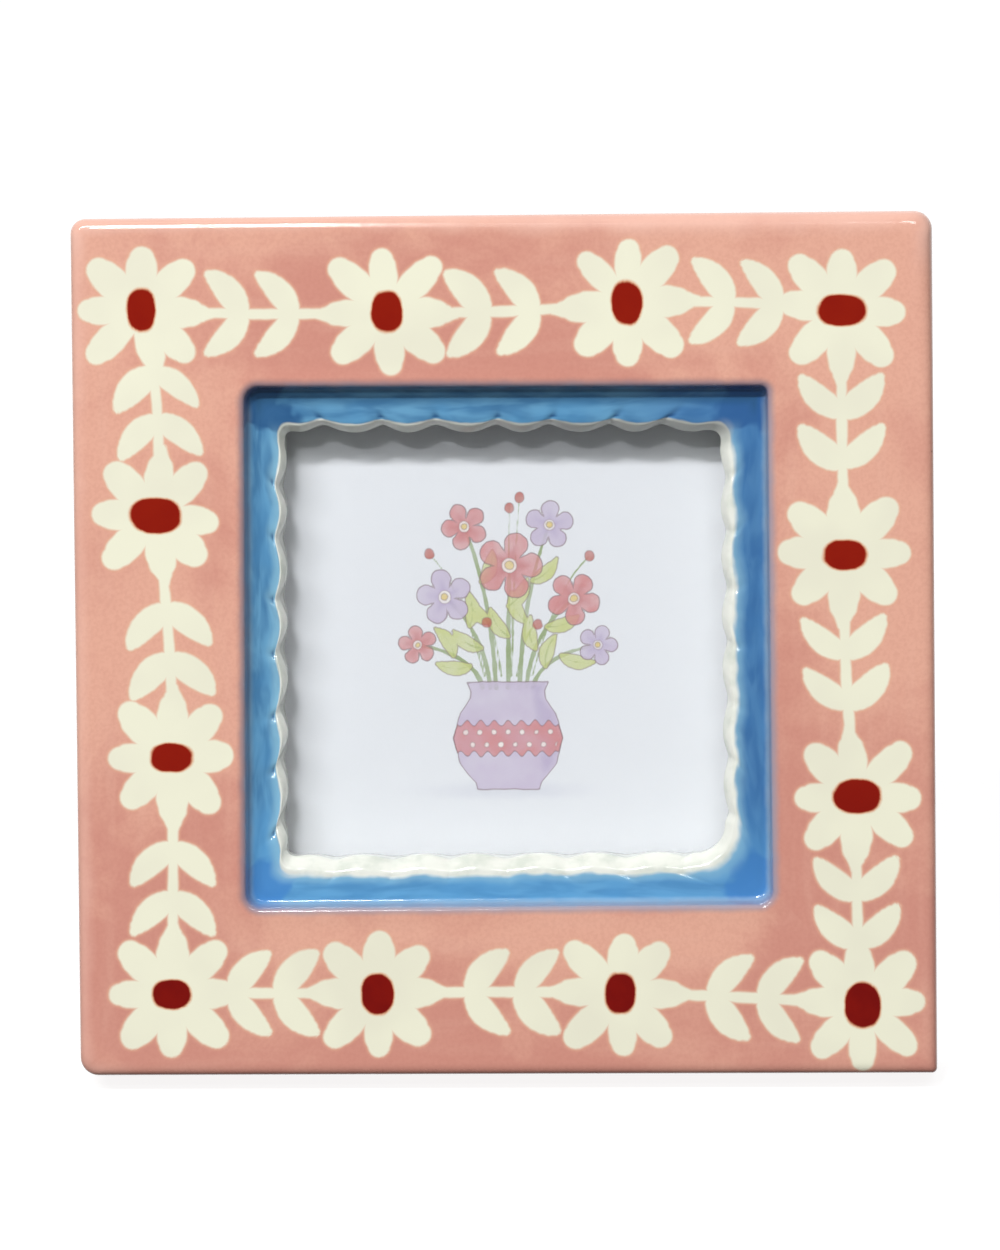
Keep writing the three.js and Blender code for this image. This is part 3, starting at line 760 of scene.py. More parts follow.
def rounded(before, corner, after, radius, steps):
    """Quadratic curve that rounds a corner of the section, from radius before it to radius after it."""
    before, corner, after = (np.array(point, float) for point in (before, corner, after))
    start = corner + (before - corner) / np.linalg.norm(before - corner) * radius
    end = corner + (after - corner) / np.linalg.norm(after - corner) * radius
    t = np.linspace(0.0, 1.0, steps + 1)[:, None]
    return (1 - t) ** 2 * start + 2 * t * (1 - t) * corner + t * t * end


def between(start, end, steps):
    """Points inside a straight run of the section, without its two ends."""
    t = np.linspace(0.0, 1.0, steps + 1)[1:-1, None]
    return np.array(start) * (1 - t) + np.array(end) * t


def body_section():
    """Section of the body as (half, depth), from the rebate round the outside to the foot of the step."""
    rebate_front = (REBATE_HALF, LEDGE_DEPTH)
    rebate_back = (REBATE_HALF, BODY_DEPTH)
    outer_back = (OUTER_HALF, BODY_DEPTH)
    outer_front = (OUTER_HALF, 0.0)
    step_edge = (STEP_HALF, 0.0)
    step_foot = (STEP_HALF - STEP_SLOPE, STEP_DEPTH)
    lip_foot = (LIP_FOOT_HALF, STEP_DEPTH)
    rebate_turn = rounded(rebate_front, rebate_back, outer_back, REBATE_ROUND, 3)
    back_turn = rounded(rebate_back, outer_back, outer_front, BACK_ROUND, 5)
    front_turn = rounded(outer_back, outer_front, step_edge, FRONT_ROUND, 9)
    edge_turn = rounded(outer_front, step_edge, step_foot, STEP_EDGE_ROUND, 6)
    foot_turn = rounded(step_edge, step_foot, lip_foot, STEP_FILLET, 6)
    return np.concatenate([
        [rebate_front],
        between(rebate_front, rebate_turn[0], 3),
        rebate_turn,
        between(rebate_turn[-1], back_turn[0], 7),
        back_turn,
        between(back_turn[-1], front_turn[0], 6),
        front_turn,
        between(front_turn[-1], edge_turn[0], 47),
        edge_turn,
        between(edge_turn[-1], foot_turn[0], 4),
        foot_turn,
    ])


def edge_round(x, height):
    """Radius of the front edge at a place: it grows along the top to the right."""
    growth = FRONT_ROUND - EDGE_ROUND
    return EDGE_ROUND + growth * smooth(height, *EDGE_GROWS_UP) * smooth(x, *EDGE_GROWS_RIGHT)


def vary_front_edge(x, height, half, depth):
    """Gives the front edge its own radius at every place: the rows of its turn are drawn in towards the edge,
    and the rows of the face are spread evenly up to it."""
    radius = edge_round(x, height)
    share = radius / FRONT_ROUND
    flat_start = STEP_HALF + STEP_EDGE_ROUND
    flat_end = OUTER_HALF - FRONT_ROUND
    on_turn = (half > flat_end - 0.01) & (depth < FRONT_ROUND + 0.01)
    on_flat = (half > flat_start) & (half < flat_end) & (depth < 0.01)
    turned = OUTER_HALF - (OUTER_HALF - half) * share
    spread = flat_start + (half - flat_start) * (OUTER_HALF - radius - flat_start) / (flat_end - flat_start)
    moved = np.where(on_turn, turned, np.where(on_flat, spread, half)) / half
    return x * moved, height * moved, np.where(on_turn, depth * share, depth)


def window_drift(x, height):
    """How far the window stands off its true place, because the cast is a little out of square: the shifts of
    its four corners, blended between them."""
    across = np.clip(x / STEP_HALF, -1.0, 1.0)[..., None]
    up = np.clip(height / STEP_HALF, -1.0, 1.0)[..., None]
    upper_right, upper_left, lower_left, lower_right = np.array(WINDOW_DRIFTS)
    upper = upper_left * (1.0 - across) + upper_right * (1.0 + across)
    lower = lower_left * (1.0 - across) + lower_right * (1.0 + across)
    shift = (lower * (1.0 - up) + upper * (1.0 + up)) / 4.0
    return shift[..., 0], shift[..., 1]


def soft_side(x, height):
    """0 along the upper and left sides, where the lip stands up, and 1 along the right and lower sides, where
    it lies flush and its glaze has run."""
    return smooth(x - height, *SOFT_RANGE)


def lip_waves():
    """Wave and crease of the lip at the columns of its four sides: the wave is 1 at a pinch and -1 at the
    crown of a lobe, and the crease is 1 in a pinch and 0 beside it.
    The size of a sine makes round lobes between narrow pinches, and the corners keep the form of a lobe."""
    along, _ = side_shares()
    straight = LIP_FOOT_HALF - nearer_corners(np.array([LIP_FOOT_CORNERS]), along)[0]
    s = straight * along - np.array(PINCH_OFFSETS)[:, None]
    s = s + PITCH_SWING * np.sin(PITCH_RATE * s + np.arange(4)[:, None])
    arch = np.sin(math.pi * s / SCALLOP_PITCH) ** 2
    low, high = math.sqrt(PINCH_SOFTNESS), math.sqrt(1.0 + PINCH_SOFTNESS)
    wave = 1.0 - 2.0 * (np.sqrt(arch + PINCH_SOFTNESS) - low) / (high - low)
    crease = np.exp(-GROOVE_SHARPNESS * arch)
    plain = smooth(np.abs(along), CORNER_START, 1.0)
    return wave * (1.0 - plain) + CORNER_WAVE * plain, crease * (1.0 - plain)


def lip_plan(half, corners, wave, foot_share, open_share):
    """x and height of rows of the lip: square loops that take their shares of the foot's and of the opening's
    own place, and of the opening's stretch."""
    x, height = square_loops(half, corners, wave)
    shift = np.array(LIP_FOOT_SHIFT) * foot_share + np.array(OPENING_SHIFT) * open_share
    x = x * (1.0 + OPENING_STRETCH * open_share) + shift[:, :1]
    height = height * (1.0 - OPENING_STRETCH * open_share) + shift[:, 1:]
    return x, height


def lip_rows(floor_start):
    """x, height, depth, distance past the lip's foot and groove of the rows inside the step.
    The blue floor is flat but for a groove at each pinch. The lip rises from it in a smooth step, falls away
    to the window as a power of the way in, and is pressed down at the pinches; then the window's wall goes
    straight back to the ledge."""
    wave, crease = lip_waves()
    foot_corners = np.array([LIP_FOOT_CORNERS])
    corners = np.array([OPENING_CORNERS])
    foot_half = np.array([[LIP_FOOT_HALF]])
    foot_x, foot_height = (side.reshape(wave.shape) for side in square_loops(foot_half, foot_corners))
    soft = soft_side(foot_x, foot_height)
    upper = smooth(foot_height, *UPPER_RANGE)
    wave = wave * (1.0 - FLUSH_WAVE * soft)
    crease = crease * (1.0 - FLUSH_CREASE * soft)
    foot = LIP_FOOT_HALF + FOOT_WAVE * wave

    near = np.linspace(0.0, 1.0, FLOOR_ROWS + 2)[1:-1, None]
    floor_half = floor_start + (LIP_FOOT_HALF - floor_start) * near
    floor_wave = FOOT_WAVE * wave * near[..., None] ** 2
    groove = crease * np.exp((LIP_FOOT_HALF - floor_half) / GROOVE_REACH)[..., None]
    floor_corners = np.array(STEP_CORNERS) * (1.0 - near) + foot_corners * near
    floor_plan = lip_plan(floor_half, floor_corners, floor_wave, near, np.zeros_like(near))
    floor_gap = foot - floor_half[..., None] - floor_wave

    inwards = np.linspace(0.0, 1.0, BEAD_ROWS)[:, None] ** BEAD_GROWTH
    share = inwards[..., None]
    bead_half = LIP_FOOT_HALF + (OPENING_HALF - LIP_FOOT_HALF) * inwards
    bead_wave = (FOOT_WAVE + (SCALLOP_WAVE - FOOT_WAVE) * share) * wave
    pinched = PINCH_SHARE * (1.0 - FLUSH_PINCH * soft) * (1.0 + wave) / 2.0
    crest = LIP_CREST * (1.0 - FLUSH * soft) * (1.0 - pinched)
    rise = crest * (1.0 - UPPER_CREST * upper) * smooth(share, 0.0, CREST_SHARE)
    fall = LIP_FALL * share ** (FALL_POWER + (UPPER_FALL_POWER - FALL_POWER) * upper)
    bead_depth = STEP_DEPTH + GROOVE_DEPTH * crease * (1.0 - share) ** 2 - rise + fall
    bead_corners = foot_corners + (corners - foot_corners) * inwards
    bead_plan = lip_plan(bead_half, bead_corners, bead_wave, 1.0 - inwards, inwards)
    bead_gap = foot - bead_half[..., None] - bead_wave

    down = np.array(WALL_LEVELS)[:, None]
    wall_wave = SCALLOP_WAVE * wave * (1.0 - WALL_WAVE_LOSS * down[..., None])
    wall_corners = np.broadcast_to(corners, (len(down), 4))
    wall_half = np.full_like(down, OPENING_HALF)
    wall_plan = lip_plan(wall_half, wall_corners, wall_wave, np.zeros_like(down), np.ones_like(down))
    wall_depth = bead_depth[-1] + (LEDGE_DEPTH - bead_depth[-1]) * down[..., None]

    parts = [
        (*floor_plan, STEP_DEPTH + GROOVE_DEPTH * groove, floor_gap, groove),
        (*bead_plan, bead_depth, bead_gap, np.zeros_like(bead_gap)),
        (*wall_plan, wall_depth, np.full_like(wall_depth, FAR), np.zeros_like(wall_depth)),
    ]
    return [np.concatenate([values.reshape(len(values), -1) for values in column]) for column in zip(*parts)]


def slow_waves(x, height):
    """Rise and fall of the cast face, from -1 to 1: the mean of a product of two sines and a slanted sine."""
    return (np.sin(x / 11.0 + 0.7) * np.sin(height / 14.0 + 1.9) + np.sin(x / 23.0 + height / 17.0)) / 2.0


def rose_wash(x, height):
    """Weight of the rose paint at a place: it thickens towards the foot of the frame, beside the window and
    in round spots above it, and thins out under the window."""
    reach = np.maximum(np.abs(x), np.abs(height))
    low = 0.85 * smooth(-height, -5.0, 62.0)
    beside = 0.4 * smooth(reach, 62.0, 48.0) * smooth(height, -60.0, -20.0)
    under = 0.85 * smooth(np.abs(x), 52.0, 34.0) * np.exp(-((height + 50.0) / 6.0) ** 2)
    weight = low + beside - under
    for spot, middle_x, middle_height, across, up in WASH_SPOTS:
        distance = ((x - middle_x) / across) ** 2 + ((height - middle_height) / up) ** 2
        weight = weight + spot * np.exp(-distance)
    return weight


def painted_step_shade(x, height, reach):
    """Weight of a painted shade at the foot of the step, which carries on the shadow that the step's upper
    edge throws on the blue: most under the upper side, less beside the left and right sides, and none above
    the lower one."""
    sides = np.maximum(0.8 * smooth(height, 38.0, 44.0), 0.2 * smooth(np.abs(x), 38.0, 44.0))
    inwards = STEP_HALF - reach
    return sides * smooth(inwards, 4.6, 2.0) * smooth(inwards, 1.2, 2.5)


def ceramic_skin():
    """Ceramic as one closed grid: rows follow the section and columns run round the window.
    Plan corners change evenly along the section, the lip's rows swing in and out with the scallops, the
    window stands a little askew, and slow waves make the rail's face uneven."""
    section = body_section()
    half, level = section[:, :1], section[:, 1:]
    in_rebate = half < REBATE_HALF + 0.5
    rail_share = np.clip((half - STEP_HALF) / (OUTER_HALF - STEP_HALF), 0.0, 1.0)
    rail_corner = np.array(STEP_CORNERS) * (1.0 - rail_share) + np.array(RAIL_CORNERS) * rail_share
    body_x, body_height = square_loops(half, np.where(in_rebate, REBATE_CORNER, rail_corner))
    body_x, body_height, body_depth = vary_front_edge(body_x, body_height, half, level)
    lip_x, lip_height, lip_depth, lip_gap, groove = lip_rows(half[-1, 0])
    x = np.concatenate([body_x, lip_x])
    height = np.concatenate([body_height, lip_height])
    depth = np.concatenate([body_depth, lip_depth])

    in_lip = np.ones((len(lip_x), 1), bool)
    front = np.concatenate([level < FRONT_ROUND + 1.0, in_lip])
    on_face = np.concatenate([level < STEP_DEPTH, ~in_lip])
    inside = np.concatenate([smooth(half, OUTER_HALF - FRONT_ROUND, STEP_HALF), in_lip]) * front
    reach = rounded_reach(x, height, STEP_HALF, PAINT_CORNERS)
    edge_gap = OUTER_HALF - np.maximum(np.abs(x), np.abs(height))
    rim = edge_gap * EDGE_ROUND / edge_round(x, height)
    # Painted light and thin glaze on the rim: full along the top, half along the left, none on the right or
    # below
    bright_rim = np.maximum(smooth(height, 62.0, 73.0), 0.5 * smooth(-x, 62.0, 73.0))
    corner = np.minimum(np.abs(x), np.abs(height))
    # Painted shade below the step's upper edge
    step_shade = painted_step_shade(x, height, reach)
    soft = soft_side(x, height)
    drift_x, drift_height = window_drift(x, height)
    x = x + inside * drift_x
    height = height + inside * drift_height
    uneven = UNEVEN * (1.0 + slow_waves(x, height))
    depth = depth + on_face * uneven * smooth(reach, STEP_HALF, STEP_HALF + UNEVEN_START)

    faces = grid_faces(*x.shape, close_rows=True, close_columns=True)
    points = stand(x, height, depth)
    piece = add_piece("ceramic_skin", points, faces, glaze, "frame", ["ceramic_frame"])
    body_back = np.where(in_rebate, 1.0, smooth(body_depth, BODY_DEPTH - 1.2, BODY_DEPTH - 0.5))
    fields = {
        "back": np.concatenate([body_back, np.zeros_like(lip_x)]),
        "rail": np.where(front, reach - STEP_HALF, OUTER_HALF),
        "lip": np.concatenate([np.full_like(body_x, -FAR), lip_gap]),
        "pool": np.concatenate([np.zeros_like(body_x), groove]),
        "corner": corner,
        "rim": rim,
        "bright_rim": bright_rim,
        # Painted shade on the upper lip, stronger towards the right
        "upper": smooth(height, 33.0, 38.0) * (0.35 + 0.65 * smooth(x, -30.0, 15.0)),
        "wash": rose_wash(x, height),
        "deep": smooth(x, 8.0, 45.0) * (1.0 - 0.6 * smooth(-height, 20.0, 44.0)),
        "low": smooth(-height, 15.0, 42.0),
        "step_shade": step_shade,
        "soft": soft,
        # Where the painted highlight of the step's edge goes: the right and lower sides, and the lower part
        # of the left side
        "lit_step_edge": np.maximum(soft, 0.6 * smooth(-x, 42.0, 44.5) * smooth(height, 44.0, 40.0)),
        "halo": smooth(height, 40.0, 34.0),
    }
    fields |= {mark: np.where(on_face, gaps, FAR) for mark, gaps in garland(x, height).items()}
    for name, values in fields.items():
        add_field(piece, name, values)
    add_surface_map(piece, x, height, depth)


def add_surface_map(piece, x, height, depth):
    """UV map in decimetres: the way round the window across, and the way along the section up."""
    rows, columns = x.shape
    places = np.stack([x, height, depth], axis=-1)
    up = np.linalg.norm(np.diff(places, axis=0, append=places[:1]), axis=-1).mean(axis=1)
    up = np.concatenate([[0.0], np.cumsum(up)]) / 100.0
    middle = places[rows // 2]
    across = np.linalg.norm(np.diff(middle, axis=0, append=middle[:1]), axis=-1)
    across = np.concatenate([[0.0], np.cumsum(across)]) / 100.0
    corners = np.zeros(len(piece.data.loops), np.int32)
    piece.data.loops.foreach_get("vertex_index", corners)
    corners = corners.reshape(-1, 4)
    row, column = corners // columns, corners % columns
    row = np.where((row == 0) & (row.max(axis=1, keepdims=True) == rows - 1), rows, row)
    column = np.where((column == 0) & (column.max(axis=1, keepdims=True) == columns - 1), columns, column)
    layer = piece.data.uv_layers.new(name="surface")
    layer.data.foreach_set("uv", np.stack([across[column], up[row]], axis=-1).astype(np.float32).ravel())


# Painted marks

def mark_gap(points, spine, half_widths):
    """Distance from points to the edge of a brush mark, negative inside: over the pieces of its spine, the
    least of the distance to the piece less the half-width there."""
    start = spine[:-1]
    along = spine[1:] - start
    offset = points[:, None, :] - start
    share = np.clip((offset * along).sum(-1) / (along * along).sum(-1), 0.0, 1.0)
    gap = np.linalg.norm(offset - share[..., None] * along, axis=-1)
    return (gap - half_widths[:-1] - share * np.diff(half_widths)).min(axis=1)


def paint_mark(field, points, spine, half_widths):
    """Adds a brush mark to a field of distances, near the mark only."""
    spine, half_widths = np.asarray(spine, float), np.asarray(half_widths, float)
    margin = half_widths.max() + MARK_MARGIN
    near = np.all((points > spine.min(axis=0) - margin) & (points < spine.max(axis=0) + margin), axis=1)
    field[near] = np.minimum(field[near], mark_gap(points[near], spine, half_widths))


def curve(start, bend, end, steps=8):
    """Points of a quadratic curve."""
    t = np.linspace(0.0, 1.0, steps + 1)[:, None]
    return (1 - t) ** 2 * np.array(start) + 2 * t * (1 - t) * np.array(bend) + t * t * np.array(end)


def leaf(root, ahead, aside):
    """Spine and half-widths of a curved leaf that leaves a stem and bends round to a tip ahead of it."""
    start, bend, tip = (root + forth * ahead + out * aside for forth, out in LEAF_SPINE)
    return curve(start, bend, tip), LEAF_WIDTHS


def flower(fields, points, middle, oval, stem_turns, hand):
    """Eight petals round a red oval, longer on the slant; a petal that lies on a stem runs out into it.
    The oval is where a sum of powers of the offsets is less than 1."""
    for petal in range(PETALS):
        slanted = petal % 2 == 1
        mark = "slanted_petals" if slanted else "straight_petals"
        length = (SLANTED_PETAL if slanted else STRAIGHT_PETAL) * hand.normal(1.0, PETAL_LENGTH_SPREAD)
        half_width = SLANTED_HALF_WIDTH if slanted else STRAIGHT_HALF_WIDTH
        width = half_width * hand.normal(1.0, PETAL_WIDTH_SPREAD)
        turn = petal * 2.0 * math.pi / PETALS + hand.normal(0.0, PETAL_TURN_SPREAD)
        nearest = min(stem_turns, key=lambda stem: abs(math.remainder(turn - stem, 2.0 * math.pi)))
        if abs(math.remainder(turn - nearest, 2.0 * math.pi)) < PETAL_STEM_TURN:
            turn = nearest
            reach = STEM_PETAL_PLACES * length
            widths = STEM_PETAL_WIDTHS * width
        else:
            reach = PETAL_PLACES * (length - PETAL_WIDTHS[-1] * width)
            widths = PETAL_WIDTHS * width
        direction = np.array([math.cos(turn), math.sin(turn)])
        paint_mark(fields[mark], points, middle + reach[:, None] * direction, widths)
    offset = np.abs(points - middle) / (oval / 2.0)
    oval_gap = ((offset ** OVAL_POWER).sum(axis=1) ** (1.0 / OVAL_POWER) - 1.0) * oval.min() / 2.0
    fields["red"] = np.minimum(fields["red"], oval_gap)


def link(fields, points, start, bend, end, bow, hand):
    """Bowed stem between two neighbours, and two pairs of curved leaves that point on round the frame."""
    length = np.linalg.norm(end - start)
    ahead = (start - end) / length
    aside = np.array([-ahead[1], ahead[0]])
    stem = curve(start, bend, end)
    paint_mark(fields["stems"], points, stem, np.full(len(stem), STEM_HALF_WIDTH))
    for mark, distance, share in LEAF_PAIRS:
        root = start - ahead * (distance + share * length) + bow
        for side in (1.0, -1.0):
            spine, widths = leaf(root, ahead, side * aside)
            paint_mark(fields[mark], points, spine, widths * hand.normal(1.0, LEAF_WIDTH_SPREAD))


def garland(x, height):
    """Distances to the edges of the painted marks at every point of the face, one field for each sort of
    mark: the flowers, and the bowed stems with their leaves from each flower to the next."""
    points = np.stack([x.ravel(), height.ravel()], axis=1)
    fields = {mark: np.full(len(points), FAR) for mark in (*CREAM_MARKS, "red")}
    hand = np.random.default_rng(HAND_SEED)
    flowers = np.array(FLOWERS)
    bows = np.array(LINK_BOWS)
    middles = flowers[:, :2]
    neighbours = np.roll(middles, -1, axis=0)
    bends = (middles + neighbours) / 2.0 + 2.0 * bows
    for index, (middle, oval) in enumerate(zip(middles, flowers[:, 2:])):
        stems = [bends[index - 1] - middle, bends[index] - middle]
        stem_turns = [math.atan2(stem[1], stem[0]) for stem in stems]
        flower(fields, points, middle, oval, stem_turns, hand)
    for start, bend, end, bow in zip(neighbours, bends, middles, bows):
        link(fields, points, start, bend, end, bow, hand)
    return {mark: gaps.reshape(x.shape) for mark, gaps in fields.items()}


# Slabs: panels, card and strut

def slab_lines(half, corner, steps):
    """Grid lines across a slab: fine over its corners and even between them."""
    fine = np.linspace(0.0, corner, CORNER_LINES + 1)[:-1]
    even = np.linspace(corner - half, half - corner, steps + 1)
    return np.concatenate([fine - half, even, half - fine[::-1]])


def rounded_plan(across, up, half, corner, inset):
    """x and height of a square grid whose corners are bent onto quarter circles, inset all round.
    Past the middle of a corner's circle a point keeps its greater offset as its distance from that middle."""
    x, height = np.meshgrid(across * (half - inset) / half, up * (half - inset) / half)
    over_x = np.abs(x) - half + corner
    over_height = np.abs(height) - half + corner
    in_corner = (over_x > 0) & (over_height > 0)
    reach = np.maximum(over_x, over_height) / np.maximum(np.hypot(over_x, over_height), 1e-9)
    bent_x = np.sign(x) * (half - corner + over_x * reach)
    bent_height = np.sign(height) * (half - corner + over_height * reach)
    return np.where(in_corner, bent_x, x), np.where(in_corner, bent_height, height)


def slab(plan, levels):
    """Places and faces of a closed slab: a grid for its front, a grid for its back, and the rims of the
    levels between them. plan(inset, depth) gives the grid at one level, and levels are pairs of inset and
    depth."""
    grids = [np.stack(np.broadcast_arrays(*plan(inset, depth), depth), axis=-1) for inset, depth in levels]
    rows, columns = grids[0].shape[:2]
    numbers = np.arange(rows * columns).reshape(rows, columns)
    rim = np.concatenate([numbers[0, :-1], numbers[:-1, -1], numbers[-1, :0:-1], numbers[:0:-1, 0]])
    rims = [grid.reshape(-1, 3)[rim] for grid in grids[1:-1]]
    points = np.concatenate([grids[0].reshape(-1, 3), *rims, grids[-1].reshape(-1, 3)])
    loops = [rim]
    loops += [rows * columns + len(rim) * k + np.arange(len(rim)) for k in range(len(rims))]
    back_start = len(points) - rows * columns
    loops.append(back_start + rim)
    front = grid_faces(rows, columns)
    strips = []
    for low, high in zip(loops, loops[1:]):
        strips.append(np.stack([low, high, np.roll(high, -1), np.roll(low, -1)], axis=1))
    return points, np.concatenate([front, *strips, back_start + front[:, ::-1]])


def edge_levels(front, back, radius, steps=4):
    """Levels of a slab with quarter-round edges, as pairs of inset and depth."""
    angle = np.linspace(0.0, math.pi / 2, steps + 1)
    inset = radius * (1.0 - np.sin(angle))
    rise = radius * (1.0 - np.cos(angle))
    start = [(radius * 3.0, front)] + list(zip(inset, front + rise))
    end = list(zip(inset[::-1], back - rise[::-1])) + [(radius * 3.0, back)]
    return start + end


def panel(name, node, front, back, edge, look):
    """Square panel in the rebate."""
    lines = slab_lines(PANEL_HALF, PANEL_CORNER, PANEL_STEPS)
    points, faces = slab(lambda inset, _: rounded_plan(lines, lines, PANEL_HALF, PANEL_CORNER, inset),
                         edge_levels(front, back, edge))
    add_piece(name, stand(*points.T), faces, look, "frame", [node])


def picture_card():
    """Card as a panel whose grid is fine where the posy is printed."""
    across = slab_lines(PANEL_HALF, PANEL_CORNER, CARD_STEPS)
    up = across.copy()
    fine_across = np.arange(-POSY_WIDTH / 2.0, POSY_WIDTH / 2.0 + 0.1, POSY_GRID)
    fine_up = np.arange(-POSY_HEIGHT / 2.0, POSY_HEIGHT / 2.0 + 0.1, POSY_GRID) + POSY_MIDDLE
    across = np.sort(np.concatenate([across[np.abs(across) > POSY_WIDTH / 2.0 + 0.5], fine_across]))
    up = np.sort(np.concatenate([up[np.abs(up - POSY_MIDDLE) > POSY_HEIGHT / 2.0 + 0.5], fine_up]))
    points, faces = slab(lambda inset, _: rounded_plan(across, up, PANEL_HALF, PANEL_CORNER, inset),
                         edge_levels(CARD_FRONT, CARD_BACK, CARD_EDGE))
    card = add_piece("printed_card", stand(*points.T), faces, printed_card, "frame", ["picture_card"])
    behind = points[:, 2] > CARD_FRONT + 0.1
    for ink, gaps in posy(points[:, 0], points[:, 1]).items():
        add_field(card, ink, np.where(behind, FAR, gaps))


def easel_strut():
    """Strut as a slab: its width grows evenly from the top to the foot, its upper corners are rounded, and
    its foot ends at the level of the table at every depth."""
    across = slab_lines(1.0, 0.3, 8)
    down = np.linspace(0.0, 1.0, STRUT_ROWS) ** STRUT_GROWTH
    reach = pin_middle[2] / math.cos(STRUT_TURN)

    def plan(inset, depth):
        """x and drop of the rows at one depth; a quarter of a circle takes the width off at the top."""
        foot = (pin_middle[2] + depth * math.sin(STRUT_TURN)) / math.cos(STRUT_TURN)
        drop = (STRUT_TOP + inset + (foot - STRUT_TOP - inset) * down)[:, None]
        half = STRUT_TOP_HALF + (STRUT_FOOT_HALF - STRUT_TOP_HALF) * (drop - STRUT_TOP) / (reach - STRUT_TOP)
        short = np.clip(STRUT_TOP_CORNER - (drop - STRUT_TOP), 0.0, STRUT_TOP_CORNER)
        half = half - inset - STRUT_TOP_CORNER + np.sqrt(STRUT_TOP_CORNER ** 2 - short ** 2)
        return across[None, :] * half, drop

    points, faces = slab(plan, edge_levels(STRUT_FRONT, STRUT_BACK, STRUT_EDGE))
    add_piece("flocked_strut", hang(*points.T), faces, black_flock, "strut", ["easel_strut"])


# Print on the card

def pot_gap(x, height):
    """Distance to the edge of a round pot with a flared rim: its half-width is a smooth row of levels."""
    inside = np.maximum(POT_LEVELS[0] - height, height - POT_LEVELS[-1])
    return np.maximum(np.abs(x) - np.interp(height, POT_LEVELS, POT_WIDTHS), inside)


def pot(fields, x, height):
    """Pot with a shaded side, a band whose edges swing as a cosine, two rows of dots, and a shade below."""
    gap = pot_gap(x, height)
    above_band = height - BAND_LEVEL
    fields["lilac"] = gap
    fields["lilac_deep"] = np.maximum(gap + POT_LINE, POT_SHADE - x - POT_SHADE_LEAN * above_band)
    scallop = BAND_WAVE * np.cos(2.0 * math.pi * x / BAND_PITCH)
    fields["rose"] = np.maximum(gap, np.abs(above_band) - BAND_HALF - scallop)
    fields["ground"] = np.hypot(x / GROUND_SIZE[0], (height - GROUND_LEVEL) / GROUND_SIZE[1]) - 1.0
    for column in np.arange(-DOTS_ASIDE, DOTS_ASIDE + 1) * DOT_PITCH:
        for level, shift in DOT_ROWS:
            dot = np.hypot(x - column - shift, height - level) - DOT_RADIUS
            fields["white"] = np.minimum(fields["white"], np.maximum(dot, gap + DOT_MARGIN))


def blades(fields, points, stem):
    """Two curved blades with ribs, one on each side of a stem; their width swells and ends as a sine does."""
    for joint, side in ((3, 1.0), (5, -1.0)):
        ahead = stem[joint + 1] - stem[joint]
        ahead = ahead / np.linalg.norm(ahead)
        aside = side * np.array([-ahead[1], ahead[0]])
        tip = stem[joint] + 4.8 * ahead + 3.2 * aside
        blade = curve(stem[joint], stem[joint] + 1.4 * ahead + 2.4 * aside, tip)
        blade_width = 0.2 + 1.1 * np.sin(np.linspace(0.08, 0.97, len(blade)) * math.pi)
        paint_mark(fields["leaf"], points, blade, blade_width)
        paint_mark(fields["rib"], points, blade[:-1], np.linspace(0.14, 0.05, len(blade) - 1))


def blossom(fields, points, ink, middle, size, turn):
    """Five round petals, darker towards the middle, and a yellow eye ringed with white."""
    for petal in range(5):
        angle = turn + 2.0 * math.pi * petal / 5.0
        direction = np.array([math.cos(angle), math.sin(angle)])
        spine = middle + size * np.array([[0.28], [0.62]]) * direction
        paint_mark(fields[ink], points, spine, [0.22 * size, 0.36 * size])
        vein = middle + size * np.array([[0.2], [0.55]]) * direction
        paint_mark(fields[f"{ink}_deep"], points, vein, [0.16 * size, 0.02])
    dot = np.stack([middle, middle + 0.01])
    paint_mark(fields["white"], points, dot, [0.22 * size, 0.22 * size])
    paint_mark(fields["yellow"], points, dot, [0.13 * size, 0.13 * size])


def posy(x, height):
    """Fields of distances for the inks of the card: a round pot with a scalloped band, curved stems, leaves,
    five-petalled blossoms and berries."""
    points = np.stack([x, height], axis=1)
    fields = {ink: np.full(len(points), FAR) for ink in INKS}
    pot(fields, x, height)
    for number, (ink, middle_x, middle_height, size) in enumerate(BLOSSOMS):
        middle = np.array([middle_x, middle_height])
        root = np.array([0.28 * middle_x, -8.0])
        stem = curve(root, np.array([0.36 * middle_x, 0.5 * middle_height - 2.0]), middle)
        paint_mark(fields["stem"], points, stem, np.linspace(0.42, 0.28, len(stem)))
        blades(fields, points, stem)
        blossom(fields, points, ink, middle, size, 0.5 * number)
    for berry in BERRIES:
        sprig = curve(berry, 0.6 * np.array(berry) + (0.0, 1.0), (0.3 * berry[0], -6.0))
        paint_mark(fields["stem"], points, sprig, np.linspace(0.1, 0.16, len(sprig)))
        paint_mark(fields["red"], points, np.array([berry, berry]) + [[0.0, 0.0], [0.0, 0.2]], [0.85, 0.8])
    return fields


# Turned and stamped metal

def lathe(profile, steps=40):
    """Closed turned shape about the depth axis from a profile of radius and depth: rows are the profile's
    points and columns the turn. Returns x, height and depth."""
    radius, depth = np.array(profile, float).T[:, :, None]
    turn = np.arange(steps) / steps * 2.0 * math.pi
    return np.broadcast_arrays(radius * np.cos(turn), radius * np.sin(turn), depth)


def dome(radius, rim, height, steps=10):
    """Profile of a dome: a quarter of an ellipse, from its rim to just beside its top."""
    angle = np.linspace(0.0, 0.97, steps) * math.pi / 2
    return list(zip(radius * np.cos(angle), rim + height * np.sin(angle)))


